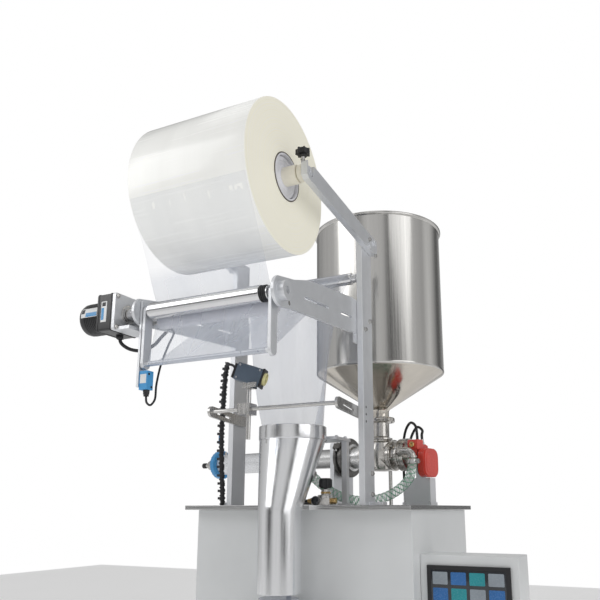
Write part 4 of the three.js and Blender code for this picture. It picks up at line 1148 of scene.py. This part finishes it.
# ---- sensors and wiring --------------------------------------------------------------------------
def add_sensors():
    eye = Matrix.Translation((-60, -75, 255)) @ spun(19, "Z") @ spun(18, "Y")
    case = rounded([(-14, -18), (14, -18), (14, 18), (-10, 18), (-14, 13)], 2.5)
    shape = Shape().prism(case, -25, 28, eye @ ACROSS, 0)
    shape.prism(rounded(rectangle(-12, -16, 12, 14), 3), -31, -24.8, eye @ ACROSS, 3)
    shape.prism(rounded(rectangle(-15, -20, 15, 19), 2.5), 28.2, 32, eye @ ACROSS, 3)
    lens = [(0, 31.6), (8.2, 31.6), (9, 34.6), (10, 37), (12.6, 37), (13, 36.4), (13, 31.5), (0, 31.5)]
    shape.lathe(lens, eye @ TURNS["x"], 1, 64)
    shape.lathe([(0, 32.2), (8.2, 32.2), (8.2, 31.8), (0, 31.8)], eye @ TURNS["x"], 2, 48)
    shape.box((-14, -8, 17.8), (14, 8, 18.3), eye, 3)
    for x in (-20, 22):
        for z in (-13, 13):
            shape.cap_screw(eye @ placed((x, -14, z), "-y"), 2, 0.8, 4)
    shape.steps([(2.2, 0, 1)], eye @ placed((21, 0, 18)), 5, 20)
    for low, high in (((-69, -83, 226.3), (-51, -65, 240)), ((-52.5, -90, 226.4), (-49, -62, 233)),
                      ((-52.5, -92, 226.4), (-34, -88.5, 236))):
        shape.box(low, high, material=4)
    ends = [eye @ Vector((-30.5, 0, 4)), eye @ Vector((-40, 2, 9))]
    lead = curve([*ends, (-112, -84, 279), (-121, -80, 282)], 2)
    shape.sweep(lead[: len(lead) * 2 // 3], 2.6, 3, 16)
    piece("photo_eye_housing", shape, [SLATE, AMBER, GLASS, BLACK, STEEL, GREEN], "eye",
          ["photo_eye"], bevel=0.7)

    low, high = span("level_sensor")
    y = middle("level_sensor").y
    shape = Shape()
    shape.box((low.x, low.y, low.z + 11), (high.x, high.y, high.z))
    shape.box((low.x + 2, low.y - 0.4, high.z - 22), (high.x - 2, low.y + 1, high.z - 6), material=2)
    shape.lathe([(0, 12), (5.4, 11), (5.4, 4), (4.6, 3), (4.6, 0), (2, 0)], placed((-122, y, low.z)), 1, 32)
    shape.steps([(6, 7, 10.6)], placed((-122, y, low.z)), 1, 6)
    shape.cap_screw(placed((high.x, y - 4, high.z - 6), "x"), 2, 1, 1)
    shape.cap_screw(placed((high.x, y + 4, low.z + 16), "x"), 2, 1, 1)
    piece("proximity_sensor", shape, [BLUE_SENSOR, BLACK, WHITE], HOME, ["level_sensor"],
          bevel=0.8)

    loop = [(-122, y, 181.6), (-122, y + 2, 172), (-121, y + 10, 168), (-119, y + 19, 178),
            (-121, y + 24, 206), (-121.5, y + 34, 244), (-121.5, y + 52, 284), (-125, y + 70, 312),
            (-136, y + 76, 322)]
    piece("sensor_lead", Shape().sweep(curve(loop, 3), 1.9, 0, 16), BLACK, HOME,
          ["sensor_cable"], bevel=0)


def add_harness():
    line = [(-175, 18, 308), (-176, 12, 280), (-175, 6, 220), (-176, 4, 150), (-175, 6, 80), (-174, 10, 30),
            (-174, 12, 0.6)]
    shape = Shape().sweep(curve(line, 6), 4.6, 0, 24)
    wrap = helix_round(line, 4.9, 8.5)
    shape.sweep(wrap, 1.5, 0, 8)
    fine = curve(line, 17)
    for p in fine[1:-1]:
        shape.box((p.x - 10.5, p.y - 2.2, p.z - 2.6), (p.x - 4, p.y + 2.2, p.z + 2.6))
        shape.pipe(6.3, 4.4, -2.2, 2.2, Matrix.Translation(p), 0, 32)
    shape.box((-182.4, 2, 128), (-175, 9, 146), material=1)
    piece("wrapped_harness", shape, [BLACK, BLUE], HOME, ["wiring_harness"], bevel=0.3)


# ---- sealing station, panel, feet ----------------------------------------------------------------
def add_station():
    for name in ("left", "right"):
        wheel = middle(f"pull_wheel_{name}")
        on = placed((wheel.x, 0, wheel.z), "y")
        shape = Shape().steps([(9, -65, -61), (22, -61, -37), (9, -37, -33), (6, -33, 50)], on, 1, 64)
        for k in range(3):
            mid = -57 + k * 8
            tyre = [(r, mid + h) for r, h in mirrored([(22, 4), (28, 4), (30, 2.6)])]
            shape.lathe(tyre, on, 0, 96)
        shape.hex_bolt(placed((wheel.x, -65, wheel.z), "-y"), 4, 3.4, 1)
        piece(f"pull_tyre_{name}", shape, [RUBBER, STEEL], f"wheel_{name}", [f"pull_wheel_{name}"],
              bevel=0.3)

    jaw = middle("jaw_front")
    low, high = span("jaw_front")
    extras = Shape()
    for x in (-88, -30, 30, 88):
        extras.cap_screw(placed((x, low.y, jaw.z), "-y"), 4, 4, 0)
    for x in (-52, 0, 52):
        extras.box((x - 12, low.y - 3, high.z - 0.2), (x + 12, low.y + 20, high.z + 3), material=1)
    piece("jaw_front_fittings", extras, [STEEL, BRASS], "front_jaw", bevel=0.4)
    front, height = span("jaw_frame")[0].y, middle("jaw_frame").z
    extras = Shape()
    for side in (-1, 1):
        extras.hex_bolt(placed((side * 100, front, height), "-y"), 9, 8, 0)
    extras.steps([(18, 0, 4)], placed((0, front, height), "-y"), 0, 48)
    piece("jaw_frame_nuts", extras, [STEEL], HOME, bevel=0.5)


def add_panel():
    low, high = span("touch_screen")
    shape = Shape()
    shape.box((low.x, low.y + 1, low.z), (high.x, high.y, high.z))
    shape.box((low.x + 8, low.y, low.z + 8), (high.x - 8, low.y + 1.4, high.z - 8), material=1)
    wide, tall = (high.x - low.x - 16) / 4, (high.z - low.z - 16) / 3
    for column in range(4):
        for row in range(3):
            x, z = low.x + 8 + column * wide, low.z + 8 + row * tall
            tile = rounded(rectangle(x + 3, z + 3, x + wide - 3, z + tall - 3), 2)
            material = 2 + (column + 2 * row) % 3
            shape.prism(tile[::-1], -low.y - 0.3, -low.y + 0.25, UPRIGHT, material)
    piece("operator_screen", shape, [BLACK, GLASS, TILE_A, TILE_B, TILE_C], HOME,
          ["touch_screen"], bevel=0.3)

    def facing(node, y=0):
        """A place on a node's axis that points to the front."""
        return placed((middle(node).x, y, middle(node).z), "-y")

    front = -span("estop_button")[0].y
    on = facing("estop_button")
    mushroom = [(0, 0), (9, 0.4), (15, 2), (18.4, 5), (19, 8), (17.6, 11), (11, 12), (11, 38), (0, 38)]
    shape = Shape().lathe([(radius, front - back) for radius, back in mushroom], on, 0, 72)
    piece("mushroom_button", shape, RED, "estop", ["estop_button"], bevel=0.3)
    front = -span("start_button")[0].y
    on = facing("start_button")
    button = [(0, 0.6), (8, 0.6), (10, 0), (13.4, 0), (14, 0.8), (14, 5), (11, 5), (11, 22), (0, 22)]
    shape = Shape().lathe([(radius, front - back) for radius, back in button], on, 0, 72)
    piece("green_push_button", shape, GREEN, "start", ["start_button"], bevel=0.3)
    rings = Shape()
    plate = span("control_panel")[0].y
    for node, inner, outer in (("estop_button", 11.8, 21), ("start_button", 14.5, 17.5)):
        to = facing(node, plate)
        collar = [(inner, -0.2), (outer, -0.2), (outer, 2), (outer - 1, 2.8), (inner + 0.5, 2.8),
                  (inner, 2.3)]
        rings.lathe(collar, to, 0, 72)
    piece("button_collars", rings, STEEL, HOME, bevel=0.2)


def add_feet():
    for number in range(1, 5):
        node = f"foot_{number}"
        low, high = span(node)
        on = placed(over(node, low.z))
        pad = [(0, 0), (24.4, 0), (25, 1), (25, 8), (22, 11), (12, 14), (8, 15), (0, 15)]
        shape = Shape().lathe(pad, on, 0, 72)
        top = high.z - low.z
        shape.steps([(7.8, 14, top - 13)], on, 1, 48).steps([(13, top - 14, top - 0.2)], on, 1, 6)
        for k in range(10):
            z = 16 + k * 2.6
            shape.lathe([(7.7, z), (8.1, z + 0.9), (7.7, z + 1.8)], on, 1, 32)
        piece(f"levelling_{node}", shape, [RUBBER, STEEL], HOME, [node], bevel=0.4)


def add_fasteners():
    """Bolts and small holes on the frame's plates."""
    shape = Shape()
    outer = span("post_right")[0].x + 12
    for z in (159, 173, 187):
        hole = [(0, 0.12), (1.6, 0.12), (2.2, 0.25), (2.4, 0.05), (2.4, 0)]
        shape.lathe(hole, placed((outer, 12, z), "x"), 1, 24)
    for side, way in ((-1, "-x"), (1, "x")):
        for y, z in ((36, 366), (12, 344), (36, 20), (36, 60)):
            shape.hex_bolt(placed((side * outer, y, z), way), 4.4, 4, 0)
        for y, z in ((12, 534), (42, 508)):
            shape.hex_bolt(placed((side * (outer + 12.3), y, z), way), 4, 3.6, 0)
    piece("frame_fasteners", shape, [STEEL, BLACK], HOME, bevel=0.2)


# ---- surroundings --------------------------------------------------------------------------------
BAND_STRENGTH = 0.62  # of the light and dark bands that metal reflects
BACKDROP_STRENGTH = 1.0  # of the white that the camera sees behind the machine
FLOOR_REACH = 9000


def add_surroundings():
    """A pale floor, a banded sky for the metal, and soft light from a large source on each side and above."""
    world = bpy.data.worlds.new("studio")
    bpy.context.scene.world = world
    world.use_nodes = True
    world.node_tree.nodes.clear()
    sky = Graph(world.node_tree)
    where = sky.node("ShaderNodeTexCoord").outputs["Generated"]
    split = sky.node("ShaderNodeSeparateXYZ", {0: where}).outputs
    turn = sky.node("ShaderNodeMath", {0: split["Y"], 1: split["X"]}, operation="ARCTAN2").outputs[0]
    bands = sky.node("ShaderNodeValToRGB", {"Fac": sky.between(turn, 0, 1, -pi, pi)})
    stops = [(0.0, 0.8), (0.1, 1.0), (0.17, 0.12), (0.2, 0.2), (0.24, 1.0), (0.33, 1.0), (0.37, 0.15),
             (0.42, 0.3), (0.47, 0.95), (0.56, 0.75), (0.62, 1.0), (0.69, 0.12), (0.74, 0.45), (0.79, 1.0),
             (0.87, 0.25), (0.93, 0.6), (1.0, 0.8)]
    ramp = bands.color_ramp.elements
    ramp[0].position, ramp[1].position = stops[0][0], stops[-1][0]
    ramp[0].color, ramp[1].color = (*even(stops[0][1]), 1), (*even(stops[-1][1]), 1)
    for position, tone in stops[1:-1]:
        ramp.new(position).color = (*even(tone), 1)
    backdrop = sky.node("ShaderNodeLightPath").outputs["Is Camera Ray"]
    colour = sky.mixed(backdrop, bands.outputs["Color"], (1, 1, 1))
    strength = sky.between(backdrop, BAND_STRENGTH, BACKDROP_STRENGTH, 0, 1)
    light = sky.node("ShaderNodeBackground", {"Color": colour, "Strength": strength}).outputs[0]
    sky.node("ShaderNodeOutputWorld", {"Surface": light})

    for name, place, target, size, power in (
        ("key", (-1500, -1900, 1500), (0, 0, 350), 1.6, 16),
        ("fill", (2300, -900, 900), (0, 100, 300), 1.8, 11),
        ("top", (0, 200, 2400), (0, 0, 0), 2.0, 7),
    ):
        data = bpy.data.lights.new(name, "AREA")
        data.size, data.energy = size, power
        lamp = show(name, data)
        lamp.location = at(*place)
        lamp.rotation_euler = (at(*target) - at(*place)).to_track_quat("-Z", "Y").to_euler()
        lamp.visible_camera = False

    floor = Shape().box((-FLOOR_REACH, -FLOOR_REACH, -5), (FLOOR_REACH, FLOOR_REACH, -1))
    bm = floor.bm
    for vertex in bm.verts:
        vertex.co = vertex.co * MM
    mesh = bpy.data.meshes.new("pale_floor")
    bm.to_mesh(mesh)
    bm.free()
    ground = show("pale_floor", mesh)
    made = Finish("floor_paint", (0.88, 0.88, 0.88), 0.0, 0.6, Emission_Color=(1, 1, 1, 1),
                  Emission_Strength=0.3)
    mesh.materials.append(made.mottle(1.5, 0.02).material)
    view = bpy.context.scene.view_settings
    view.view_transform, view.look = "Standard", "None"


add_hose()
finish_cad_nodes()
add_reel()
add_rollers()
add_gearmotor()
add_film()
add_film_tube()
add_funnel()
add_hopper()
add_valve()
add_barrel()
add_air_cylinder()
add_actuator()
add_regulator()
add_sensors()
add_harness()
add_station()
add_panel()
add_feet()
add_fasteners()
add_surroundings()
